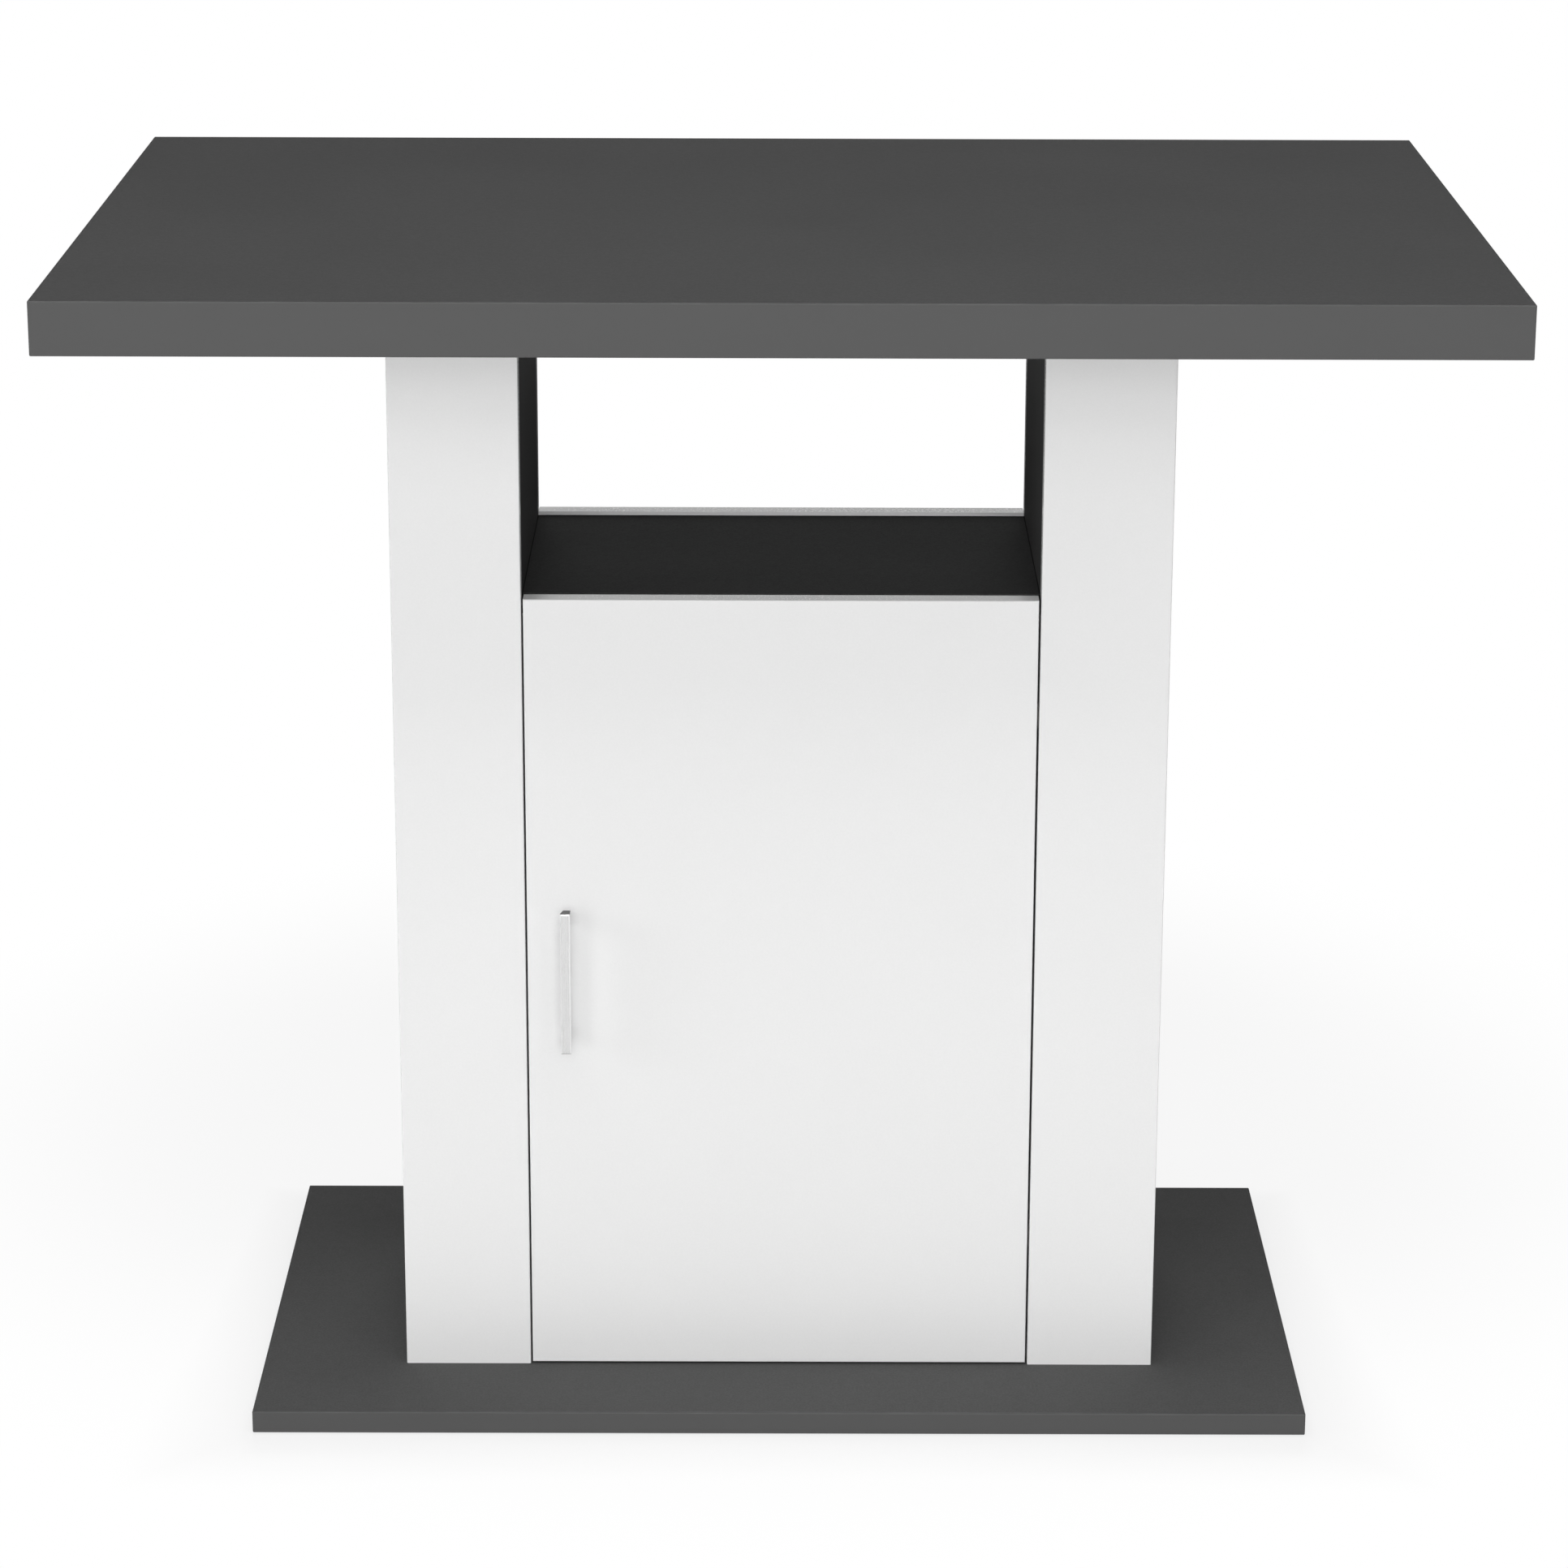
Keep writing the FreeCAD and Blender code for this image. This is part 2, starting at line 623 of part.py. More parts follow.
def cam_fittings():
    """The cams in the niche floor's underside and the bolts that they draw in."""
    cams = []
    bolts = []
    for place in cam_places():
        cam = rod(place, UP, CAM_DEPTH, CAM_RADIUS)
        middle = cam_bolt_axis(place).z
        half_slot = CAM_SLOT / 2
        slot = block(
            (place.x - half_slot, place.x + half_slot), (place.y - half_slot, place.y + CAM_RADIUS + OVER),
            (middle - half_slot, middle + half_slot),
        )
        cams.append(cam.cut(slot))
        bolts.append(turned([
            (0, 0), (CAM_BOLT_HEAD_RADIUS, 0), (CAM_BOLT_HEAD_RADIUS, CAM_BOLT_HEAD),
            (CAM_BOLT_RADIUS, CAM_BOLT_HEAD), (CAM_BOLT_RADIUS, CAM_BACK_INSET),
            (CAM_BOLT_HEAD_RADIUS, CAM_BACK_INSET), (CAM_BOLT_HEAD_RADIUS, CAM_BACK_INSET + CAM_BOLT_THREAD),
            (0, CAM_BACK_INSET + CAM_BOLT_THREAD),
        ], cam_bolt_axis(place) + FORWARD * CAM_BACK_INSET, BACKWARD))
    save("cam_locks", cams)
    save("cam_bolts", bolts)


def door():
    """The inset door, bored for its hinge cups and drilled for its fittings."""
    panel = block((DOOR_LEFT, DOOR_RIGHT), (FRONT, DOOR_BACK), (DOOR_LOW, DOOR_HIGH))
    panel = panel.makeFillet(EDGE_ROUND, [edge for edge in panel.Edges if lies_at(edge, 1, FRONT)])
    holes = []
    for height in HINGE_HEIGHTS.values():
        bore = at(CUP_X, DOOR_BACK - CUP_DEPTH - FIT, height)
        holes.append(rod(bore, BACKWARD, CUP_DEPTH + FIT + OVER, CUP_RADIUS + FIT))
        heads = [place + BACKWARD * CUP_FLANGE_THICK for place in cup_screw_places(height)]
        holes += [screw_hole(CUP_SCREW, head, FORWARD) for head in heads]
    holes += [screw_hole(HANDLE_SCREW, place, FORWARD) for place in handle_screw_places()]
    holes.append(sunk_hole(STRIKE_SCREW, strike_centre(), FORWARD))
    save("door", [cut(panel, holes)])


def handle():
    """The bar handle: a bar with one drafted side and bevelled face edges, on two posts."""
    x = DOOR_LEFT + HANDLE_INSET
    half = HANDLE_SPACING / 2 + HANDLE_END
    face = FRONT - HANDLE_REACH
    back = face + HANDLE_THICK
    right = x + HANDLE_FACE / 2
    corners = [
        at(right - HANDLE_FACE, face, 0), at(right, face, 0),
        at(right, back, 0), at(right - HANDLE_BACK, back, 0),
    ]
    outline = [line(corners[index - 1], corners[index]) for index in range(len(corners))]
    bar = prism(outline, at(0, 0, HANDLE_CENTRE - half), at(0, 0, half + half))
    bar = bar.makeChamfer(HANDLE_BEVEL, [edge for edge in bar.Edges if lies_at(edge, 1, face)])
    posts = []
    for place in handle_screw_places():
        across = (place.x - POST_WIDTH / 2, place.x + POST_WIDTH / 2)
        upright = (place.z - POST_HEIGHT / 2, place.z + POST_HEIGHT / 2)
        post = block(across, (FRONT, back), upright)
        posts.append(post.makeFillet(POST_ROUND, [edge for edge in post.Edges if runs_along(edge, 1)]))
    holes = [screw_hole(HANDLE_SCREW, place, FORWARD) for place in handle_screw_places()]
    save("door_handle", [cut(bar.fuse(posts), holes)])
    save("handle_screws", [pan_screw(HANDLE_SCREW, place, FORWARD) for place in handle_screw_places()])


def hinge_cup(height):
    """A hinge's cup: a round pot with a flange, two screw ears and the cheeks that hold the pin."""
    floor_y = DOOR_BACK - CUP_DEPTH
    rim_y = DOOR_BACK + CUP_FLANGE_THICK
    centre = at(CUP_X, floor_y, height)
    pot = rod(centre, BACKWARD, CUP_DEPTH + CUP_FLANGE_THICK, CUP_RADIUS)
    seat = at(CUP_X, DOOR_BACK, height)
    flange = rod(seat, BACKWARD, CUP_FLANGE_THICK, CUP_RADIUS + CUP_FLANGE_RIM)
    ears = [rod(place, BACKWARD, CUP_FLANGE_THICK, CUP_EAR_RADIUS) for place in cup_screw_places(height)]
    ear_x = CUP_X - CUP_EAR_OFFSET
    bridge = block(
        (ear_x - CUP_EAR_RADIUS, ear_x + CUP_EAR_RADIUS), (DOOR_BACK, rim_y),
        (height - CUP_EAR_SPACING / 2, height + CUP_EAR_SPACING / 2),
    )
    pocket_start = at(CUP_X, floor_y + CUP_FLOOR, height)
    pocket = rod(pocket_start, BACKWARD, CUP_DEPTH + CUP_FLANGE_THICK + OVER, CUP_RADIUS - CUP_WALL)
    shell = pot.fuse([flange, bridge] + ears).cut(pocket)
    cheeks = []
    for sign in (-1, 1):
        inner = height + sign * (NECK_WIDTH / 2 + SWING_GAP)
        cheek = block(
            (PIN_X - CHEEK_HALF_WIDTH, PIN_X + CHEEK_HALF_WIDTH), (floor_y, PIN_Y + CHEEK_RISE),
            (inner, inner + sign * (CUP_RADIUS - NECK_WIDTH / 2)),
        )
        cheeks.append(cheek.common(rod(centre, BACKWARD, CUP_DEPTH, CUP_RADIUS)))
    pin_hole = hinge_pin(height, RUNNING)
    ear_holes = [
        screw_hole(CUP_SCREW, place + BACKWARD * CUP_FLANGE_THICK, FORWARD)
        for place in cup_screw_places(height)
    ]
    return cut(shell.fuse(cheeks).removeSplitter(), [pin_hole] + ear_holes)


def hinge_pin(height, extra):
    """A hinge's pin, or with extra the hole for it."""
    half = NECK_WIDTH / 2 + SWING_GAP + CHEEK_THICK + extra
    return rod(at(PIN_X, PIN_Y, height - half), UP, half + half, HINGE_PIN_RADIUS + extra)


def neck_outline(end_x):
    """The swan neck in plan, with the pin at zero: left along the cup, round the door's corner, right."""
    bend = at(NECK_BEND - NECK_SWEEP, NECK_BEND, 0)
    sweep = at(0, NECK_BEND, 0)
    rise = NECK_BEND + NECK_SWEEP
    outer = NECK_BEND + NECK_HALF
    inner = NECK_BEND - NECK_HALF
    far = NECK_SWEEP + NECK_HALF
    near = NECK_SWEEP - NECK_HALF
    low_start = at(0, -NECK_HALF, 0)
    high_start = at(0, NECK_HALF, 0)
    return [
        line(low_start, polar(bend, outer, 270)),
        arc(polar(bend, outer, 270), polar(bend, outer, 225), polar(bend, outer, 180)),
        arc(polar(sweep, far, 180), polar(sweep, far, 135), polar(sweep, far, 90)),
        line(polar(sweep, far, 90), at(end_x, rise + NECK_HALF, 0)),
        line(at(end_x, rise + NECK_HALF, 0), at(end_x, rise - NECK_HALF, 0)),
        line(at(end_x, rise - NECK_HALF, 0), polar(sweep, near, 90)),
        arc(polar(sweep, near, 90), polar(sweep, near, 135), polar(sweep, near, 180)),
        arc(polar(bend, inner, 180), polar(bend, inner, 225), polar(bend, inner, 270)),
        line(polar(bend, inner, 270), high_start),
        line(high_start, low_start),
    ]


def arm_screw_places(height):
    """Where the two adjusting screws sit on a hinge arm."""
    half = ARM_SCREW_SPACING / 2
    return [at(ARM_FACE_X, ARM_Y + ARM_LENGTH / 2 + sign * half, height) for sign in (-1, 1)]


def hinge_arm(height):
    """A hinge's arm: a hub round the pin, the swan neck, and a channel that sits on the plate's rib."""
    pivot = at(PIN_X, PIN_Y, height - NECK_WIDTH / 2)
    hub = rod(pivot, UP, NECK_WIDTH, HUB_RADIUS)
    neck = prism(neck_outline(PLATE_FACE_X - PIN_X), pivot, UP * NECK_WIDTH)
    half_arm = ARM_WIDTH / 2
    upright = (height - half_arm, height + half_arm)
    body = block((ARM_FACE_X, PLATE_FACE_X), (ARM_Y, ARM_Y + ARM_LENGTH), upright)
    half_hollow = half_arm - ARM_WALL
    hollow = block(
        (ARM_FACE_X + ARM_WALL, PLATE_FACE_X + OVER), (ARM_Y + NECK_THICK, ARM_Y + ARM_LENGTH + OVER),
        (height - half_hollow, height + half_hollow),
    )
    holes = [screw_hole(ARM_SCREW, place, RIGHT) for place in arm_screw_places(height)]
    bore = rod(pivot + DOWN * OVER, UP, OVER + NECK_WIDTH + OVER, HINGE_PIN_RADIUS + RUNNING)
    return cut(body.cut(hollow).fuse([neck, hub]).removeSplitter(), [bore] + holes)


def hinge_plate(height):
    """A hinge's mounting plate: a cross of body and wings with a rib that carries the arm."""
    half_arm = ARM_WIDTH / 2
    arm_end = ARM_Y + ARM_LENGTH
    tail_y = arm_end + PLATE_TAIL - half_arm
    across = (PLATE_FACE_X, HALF_OPENING)
    body = block(across, (ARM_Y, tail_y), (height - half_arm, height + half_arm))
    tail = rod(at(PLATE_FACE_X, tail_y, height), RIGHT, PLATE_THICK, half_arm)
    half_wing = PLATE_WING_SPACING / 2
    wing = block(
        across, (PLATE_SCREW_Y - PLATE_WING_RADIUS, PLATE_SCREW_Y + PLATE_WING_RADIUS),
        (height - half_wing, height + half_wing),
    )
    seats = [place + RIGHT * -PLATE_THICK for place in plate_screw_places(height)]
    ends = [rod(seat, RIGHT, PLATE_THICK, PLATE_WING_RADIUS) for seat in seats]
    half_rib = half_arm - ARM_WALL - STOP_GAP
    rib = block(
        (ARM_FACE_X + ARM_WALL, PLATE_FACE_X), (ARM_Y + NECK_THICK + STOP_GAP, arm_end),
        (height - half_rib, height + half_rib),
    )
    holes = [screw_hole(PLATE_SCREW, seat, RIGHT) for seat in seats]
    holes += [screw_hole(ARM_SCREW, place, RIGHT) for place in arm_screw_places(height)]
    return cut(body.fuse([tail, wing, rib] + ends).removeSplitter(), holes)


def hinges():
    """Both hinges, each from its own pieces, and their screws."""
    cup_screws = []
    plate_screws = []
    arm_screws = []
    for name, height in HINGE_HEIGHTS.items():
        save(name + "_hinge_cup", [hinge_cup(height)])
        save(name + "_hinge_pin", [hinge_pin(height, 0)])
        save(name + "_hinge_arm", [hinge_arm(height)])
        save(name + "_hinge_plate", [hinge_plate(height)])
        cup_heads = [place + BACKWARD * CUP_FLANGE_THICK for place in cup_screw_places(height)]
        cup_screws += [pan_screw(CUP_SCREW, head, FORWARD) for head in cup_heads]
        plate_heads = [place + RIGHT * -PLATE_THICK for place in plate_screw_places(height)]
        plate_screws += [pan_screw(PLATE_SCREW, head, RIGHT) for head in plate_heads]
        arm_screws += [pan_screw(ARM_SCREW, place, RIGHT) for place in arm_screw_places(height)]
    save("hinge_cup_screws", cup_screws)
    save("hinge_plate_screws", plate_screws)
    save("hinge_arm_screws", arm_screws)


def magnet_room():
    """The room in the catch's housing for the magnet and the pole plates above and below it."""
    half_length = MAGNET_LENGTH / 2 + FIT
    half_height = MAGNET_HEIGHT / 2 + POLE_THICK + FIT
    return block(
        (CATCH_X - half_length, CATCH_X + half_length),
        (CATCH_FRONT_Y - OVER, CATCH_FRONT_Y + MAGNET_DEPTH + FIT),
        (MAGNET_CENTRE_Z - half_height, MAGNET_CENTRE_Z + half_height),
    )


def catch():
    """The magnetic catch: a housing under the niche floor with a magnet between two steel poles."""
    depth = (CATCH_FRONT_Y, CATCH_FRONT_Y + CATCH_DEPTH)
    half = CATCH_LENGTH / 2
    flange = block((CATCH_X - half, CATCH_X + half), depth, (FLOOR_LOW - CATCH_FLANGE, FLOOR_LOW))
    flange = flange.makeFillet(CATCH_CORNER, [edge for edge in flange.Edges if runs_along(edge, 2)])
    half = CATCH_HOUSING / 2
    foot = FLOOR_LOW - CATCH_FLANGE - CATCH_HEIGHT
    housing = block((CATCH_X - half, CATCH_X + half), depth, (foot, FLOOR_LOW))
    housing = housing.makeFillet(EDGE_ROUND, [edge for edge in housing.Edges if lies_at(edge, 2, foot)])
    holes = [screw_hole(CATCH_SCREW, place, UP) for place in catch_screw_places()]
    save("catch_housing", [cut(flange.fuse(housing).removeSplitter(), [magnet_room()] + holes)])
    save("catch_screws", [pan_screw(CATCH_SCREW, place, UP) for place in catch_screw_places()])
    half_length = MAGNET_LENGTH / 2
    half_height = MAGNET_HEIGHT / 2
    across = (CATCH_X - half_length, CATCH_X + half_length)
    inner_end = CATCH_FRONT_Y + MAGNET_DEPTH
    upright = (MAGNET_CENTRE_Z - half_height, MAGNET_CENTRE_Z + half_height)
    save("catch_magnet", [block(across, (CATCH_FRONT_Y, inner_end), upright)])
    poles = []
    for sign in (-1, 1):
        inner = MAGNET_CENTRE_Z + sign * half_height
        poles.append(block(across, (POLE_FRONT_Y, inner_end), (inner, inner + sign * POLE_THICK)))
    save("catch_pole_plates", poles)


def strike_centre():
    """The middle of the strike plate's face."""
    return at(CATCH_X, STRIKE_FACE_Y, MAGNET_CENTRE_Z)


def strike():
    """The steel strike plate on the back of the door and its countersunk screw."""
    half = (STRIKE_LENGTH - STRIKE_HEIGHT) / 2
    middle = strike_centre()
    plate = block(
        (CATCH_X - half, CATCH_X + half), (DOOR_BACK, STRIKE_FACE_Y),
        (middle.z - STRIKE_HEIGHT / 2, middle.z + STRIKE_HEIGHT / 2),
    )
    ends = [
        rod(at(CATCH_X + sign * half, DOOR_BACK, middle.z), BACKWARD, STRIKE_THICK, STRIKE_HEIGHT / 2)
        for sign in (-1, 1)
    ]
    plate = plate.fuse(ends).removeSplitter()
    save("strike_plate", [plate.cut(sunk_hole(STRIKE_SCREW, middle, FORWARD))])
    save("strike_screw", [flush_screw(STRIKE_SCREW, middle, FORWARD)])


def bumpers():
    """The rubber domes on the back of the door that meet the niche floor's edge."""
    height = SWING_SETBACK - STOP_GAP
    crown = height - BUMPER_RIM
    ball_radius = (BUMPER_RADIUS * BUMPER_RADIUS + crown * crown) / (crown + crown)
    half_turn = math.asin(BUMPER_RADIUS / ball_radius) / 2
    foot = at(0, 0, 0)
    edge = at(BUMPER_RADIUS, 0, 0)
    rim = at(BUMPER_RADIUS, 0, BUMPER_RIM)
    top = at(0, 0, height)
    drop = ball_radius * (1 - math.cos(half_turn))
    shoulder = at(ball_radius * math.sin(half_turn), 0, height - drop)
    domes = []
    for x in (DOOR_LEFT + BUMPER_INSET, DOOR_RIGHT - BUMPER_INSET):
        seat = at(x, DOOR_BACK, (FLOOR_LOW + FLOOR_TOP) / 2)
        outline = Part.Wire([line(foot, edge), line(edge, rim), arc(rim, shoulder, top), line(top, foot)])
        domes.append(revolved(outline, seat, BACKWARD))
    save("door_bumpers", domes)


def main():
    """Builds every sub-part and prints the clearances that the door needs."""
    os.makedirs("parts", exist_ok=True)
    worktop()
    base()
    strips()
    outer_sides()
    niche()
    cabinet_sides()
    rear_panel()
    shelf()
    cleats()
    board_fasteners()
    cam_fittings()
    door()
    handle()
    hinges()
    catch()
    strike()
    bumpers()
    print("door pivot at", round(PIN_X, 2), round(PIN_Y, 2))
    print("front corner clears the strip by", round(DOOR_HINGE_GAP + HINGE_PIN_INSET - FRONT_CORNER_REACH, 2))
    print("niche floor is set back by", round(SWING_SETBACK, 2))


main()
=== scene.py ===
# %% [markdown]
# # Dressing a kitchen island
# The island has a thick dark worktop, a white column of two hollow legs, an open niche between
# them, a cupboard with one door, and a flat dark base board. The solids come from CAD and are
# already right in shape and place. This lesson gives them their finishes, adds the small metal
# pieces that need more detail than CAD gives them, and sets up the light and the camera.

# %% Load the solids
import json
import math

import bmesh
import bpy
from mathutils import Matrix, Vector


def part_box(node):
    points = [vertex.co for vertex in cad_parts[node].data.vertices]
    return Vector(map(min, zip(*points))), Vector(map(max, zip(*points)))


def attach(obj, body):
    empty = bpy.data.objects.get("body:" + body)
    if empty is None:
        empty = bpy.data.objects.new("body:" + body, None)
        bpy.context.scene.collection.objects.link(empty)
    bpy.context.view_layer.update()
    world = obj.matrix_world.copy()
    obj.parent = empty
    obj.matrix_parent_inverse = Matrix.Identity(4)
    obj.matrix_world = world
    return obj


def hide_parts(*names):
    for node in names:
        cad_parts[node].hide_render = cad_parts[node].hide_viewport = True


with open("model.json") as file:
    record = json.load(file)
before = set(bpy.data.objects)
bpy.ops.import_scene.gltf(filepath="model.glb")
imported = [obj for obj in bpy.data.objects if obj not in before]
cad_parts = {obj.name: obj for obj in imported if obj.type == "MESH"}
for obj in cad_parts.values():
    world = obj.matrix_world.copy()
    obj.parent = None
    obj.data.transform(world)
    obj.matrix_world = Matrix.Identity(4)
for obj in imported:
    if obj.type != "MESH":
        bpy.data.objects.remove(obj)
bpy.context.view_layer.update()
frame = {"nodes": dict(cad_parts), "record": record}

nodes = frame["nodes"]
bpy.ops.object.select_all(action="DESELECT")

# %% [markdown]
# ## The camera
# A camera can be matched to a photograph by hand, or from the corners of an object whose sizes
# are known. The corners of the worktop, the base and the column were used here. They give the
# focal length in pixels, the place of the lens and three small turns. The lens is long and stands
# well back, so the column's edges look almost parallel.

# %% Camera
PICTURE_PIXELS = 1932
FOCAL_PIXELS = 5885.2
SENSOR_WIDTH = 36.0
EYE = Vector((-0.0019, -3.6949, 1.5897))
PITCH_DOWN = math.radians(16.939)
YAW_RIGHT = math.radians(0.073)
ROLL = math.radians(0.172)


def aimed(eye, pitch_down, yaw_right, roll):
    """The place and turn of a camera that looks along +Y when its turns are zero."""
    level = math.cos(pitch_down)
    forward = Vector((
        math.sin(yaw_right) * level, math.cos(yaw_right) * level, -math.sin(pitch_down),
    ))
    right = Vector((math.cos(yaw_right), -math.sin(yaw_right), 0))
    up = right.cross(forward)
    rolled_right = math.cos(roll) * right + math.sin(roll) * up
    rolled_up = math.cos(roll) * up - math.sin(roll) * right
    turn = Matrix((rolled_right, rolled_up, -forward)).transposed()
    return Matrix.Translation(eye) @ turn.to_4x4()


camera_data = bpy.data.cameras.new("camera")
camera_data.sensor_width = SENSOR_WIDTH
camera_data.lens = FOCAL_PIXELS / PICTURE_PIXELS * SENSOR_WIDTH
camera = bpy.data.objects.new("camera", camera_data)
camera.matrix_world = aimed(EYE, PITCH_DOWN, YAW_RIGHT, ROLL)
bpy.context.scene.collection.objects.link(camera)
bpy.context.scene.camera = camera
bpy.context.scene.view_settings.view_transform = "Standard"
print("lens", round(camera_data.lens, 2), "mm")

# %% [markdown]
# ## Sums on shader sockets
# Shader nodes can be placed one by one, but a pattern is easier to read as a sum. This small
# class wraps the output of a node. A plus or a times on it adds the Math node that does it, so
# `1 - mask * 0.5` can be written as it is thought. The second class builds one finish: it makes
# any node from its type, its settings and what goes into its sockets.

# %% Sums and finishes
class Flow:
    """What comes out of a shader node. Arithmetic on it adds Math nodes."""

    def __init__(self, finish, socket):
        self.finish = finish
        self.socket = socket

    def maths(self, operation, *values):
        return self.finish.node("ShaderNodeMath", {"operation": operation}, dict(enumerate(values)))

    def __add__(self, other):
        return self.maths("ADD", self, other)

    def __sub__(self, other):
        return self.maths("SUBTRACT", self, other)

    def __rsub__(self, other):
        return self.maths("SUBTRACT", other, self)

    def __mul__(self, other):
        return self.maths("MULTIPLY", self, other)

    def size(self):
        return self.maths("ABSOLUTE", self)

    def least(self, other):
        return self.maths("MINIMUM", self, other)

    def most(self, other):
        return self.maths("MAXIMUM", self, other)

    __radd__ = __add__
    __rmul__ = __mul__


class Finish:
    """The nodes of one material or world."""

    def __init__(self, tree):
        self.tree = tree
        self.tree.nodes.clear()

    def node(self, kind, settings, inputs, output=0):
        """Adds a node, and gives what comes out of it."""
        made = self.tree.nodes.new(kind)
        for name, setting in settings.items():
            setattr(made, name, setting)
        for name, value in inputs.items():
            if isinstance(value, Flow):
                self.tree.links.new(value.socket, made.inputs[name])
            else:
                made.inputs[name].default_value = value
        return Flow(self, made.outputs[output]) if made.outputs else None

    def place(self, stretch=(1, 1, 1)):
        """Where a point is on the object, in metres, with a scale along each axis."""
        point = self.node("ShaderNodeTexCoord", {}, {}, "Object")
        return self.node("ShaderNodeMapping", {}, {"Vector": point, "Scale": stretch})

    def axes(self):
        """The three coordinates of a point."""
        point = self.node("ShaderNodeTexCoord", {}, {}, "Object")
        split = self.node("ShaderNodeSeparateXYZ", {}, {"Vector": point})
        return [Flow(self, split.socket.node.outputs[axis]) for axis in range(3)]

    def noise(self, scale, detail=2.0, stretch=(1, 1, 1)):
        """Soft random patches, so many to a metre, from 0 to 1 with most of it near a half."""
        return self.node("ShaderNodeTexNoise", {}, {
            "Vector": self.place(stretch), "Scale": scale, "Detail": detail,
        })

    def ramp(self, value, low, high, start=0.0, end=1.0):
        """Start below the low value, end above the high one, and a smooth step between."""
        return self.node("ShaderNodeMapRange", {"interpolation_type": "SMOOTHSTEP"}, {
            "Value": value, "From Min": low, "From Max": high, "To Min": start, "To Max": end,
        })

    def fade(self, value, low, high):
        """The other way round: 1 below the low value, and 0 above the high one."""
        return self.ramp(value, low, high, 1.0, 0.0)

    def tint(self, share, first, second):
        """The first colour where the share is 0 and the second where it is 1."""
        return self.node("ShaderNodeMix", {"data_type": "RGBA"}, {0: share, 6: first, 7: second}, 2)

    def bump(self, height, distance):
        """Small dents and ridges, as a normal. The distance is how deep they are, in metres."""
        return self.node("ShaderNodeBump", {}, {
            "Height": height, "Distance": distance, "Strength": 1.0,
        })

    def skin(self, **sockets):
        """The main shader, with underscores for the spaces in the names of its sockets."""
        named = {name.replace("_", " "): value for name, value in sockets.items()}
        shader = self.node("ShaderNodeBsdfPrincipled", {}, named)
        self.node("ShaderNodeOutputMaterial", {}, {"Surface": shader})


def new_finish(name):
    """An empty material, and the finish that fills it."""
    material = bpy.data.materials.new(name)
    material.use_nodes = True
    return material, Finish(material.node_tree)


def grey(level):
    """A grey colour, from 0 for black to 1 for white."""
    return (level, level, level, 1)


print("sums ready")

# %% [markdown]
# ## Light
# In the photograph the column is evenly lit up to just under the worktop, so most of the light
# comes from low in front. A lamp on each side in front draws the soft shadows that start at the
# column's feet, and a near lamp high up makes the fronts of worktop and base a little lighter
# than their backs. One lamp far round on the left and one high on the right even out the dark
# boards. Two lamps behind keep the back readable. They aren't mirrored, or the worktop would
# shine towards the camera. Each lamp was rendered alone, and their powers were then chosen
# together, so that the tones come close to the photograph's. They are area lamps, because a
# lamp's size sets how soft its shadows are. What the camera and the metal see of the world is
# plain white.

# %% Lamps and world
AIM = Vector((0, 0, 0.5))
# Name, azimuth and elevation in degrees, distance, width and height in metres, power in watts
LAMPS = (
    ("front_low", 0, 3, 9.0, 5.0, 1.5, 139),
    ("front_middle", 0, 14, 9.0, 5.0, 2.0, 126),
    ("front_raised", 0, 22, 9.0, 5.0, 2.0, 63),
    ("front_high", 0, 30, 9.0, 5.0, 2.0, 77),
    ("near_over", 0, 64, 3.2, 3.0, 1.2, 43),
    ("left_front", -35, 6, 9.0, 2.5, 2.0, 98),
    ("right_front", 35, 14, 9.0, 2.5, 2.5, 55),
    ("left_side", -72, 14, 6.0, 1.5, 2.0, 70),
    ("right_high", 60, 35, 6.0, 2.0, 2.0, 26),
    ("back_low", 180, 5, 9.0, 5.0, 1.5, 150),
    ("back_high", 180, 25, 9.0, 5.0, 2.0, 338),
)
NOT_MIRRORED = ("back_low", "back_high")
WORLD_LIGHT = 0.03


def add_lamp(name, azimuth, elevation, distance, width, height, power):
    """A soft rectangular lamp that points at the object. Azimuth 0 is in front, 90 on the right."""
    turn, rise = math.radians(azimuth), math.radians(elevation)
    level = math.cos(rise)
    outwards = Vector((math.sin(turn) * level, -math.cos(turn) * level, math.sin(rise)))
    data = bpy.data.lights.new(name, "AREA")
    data.shape = "RECTANGLE"
    data.size = width
    data.size_y = height
    data.energy = power
    lamp = bpy.data.objects.new(name, data)
    lamp.location = AIM + outwards * distance
    lamp.rotation_euler = outwards.to_track_quat("Z", "Y").to_euler()
    lamp.visible_camera = False
    lamp.visible_glossy = name not in NOT_MIRRORED
    bpy.context.scene.collection.objects.link(lamp)


for lamp in LAMPS:
    add_lamp(*lamp)


def seen_directly(finish):
    """1 for what the camera sees, also in a mirror or through glass, and 0 for what only lights."""
    camera_ray = finish.node("ShaderNodeLightPath", {}, {}, "Is Camera Ray")
    outputs = camera_ray.socket.node.outputs
    mirrored = Flow(finish, outputs["Is Glossy Ray"])
    through = Flow(finish, outputs["Is Transmission Ray"])
    return camera_ray.most(mirrored).most(through)


world = bpy.data.worlds.new("studio")
world.use_nodes = True
bpy.context.scene.world = world
studio = Finish(world.node_tree)
studio_light = studio.node("ShaderNodeBackground", {}, {"Color": grey(1), "Strength": WORLD_LIGHT})
studio_white = studio.node("ShaderNodeBackground", {}, {"Color": grey(1), "Strength": 1.0})
studio_mix = studio.node("ShaderNodeMixShader", {}, {
    0: seen_directly(studio), 1: studio_light, 2: studio_white,
})
studio.node("ShaderNodeOutputWorld", {}, {"Surface": studio_mix})
print("lamps:", len(LAMPS))

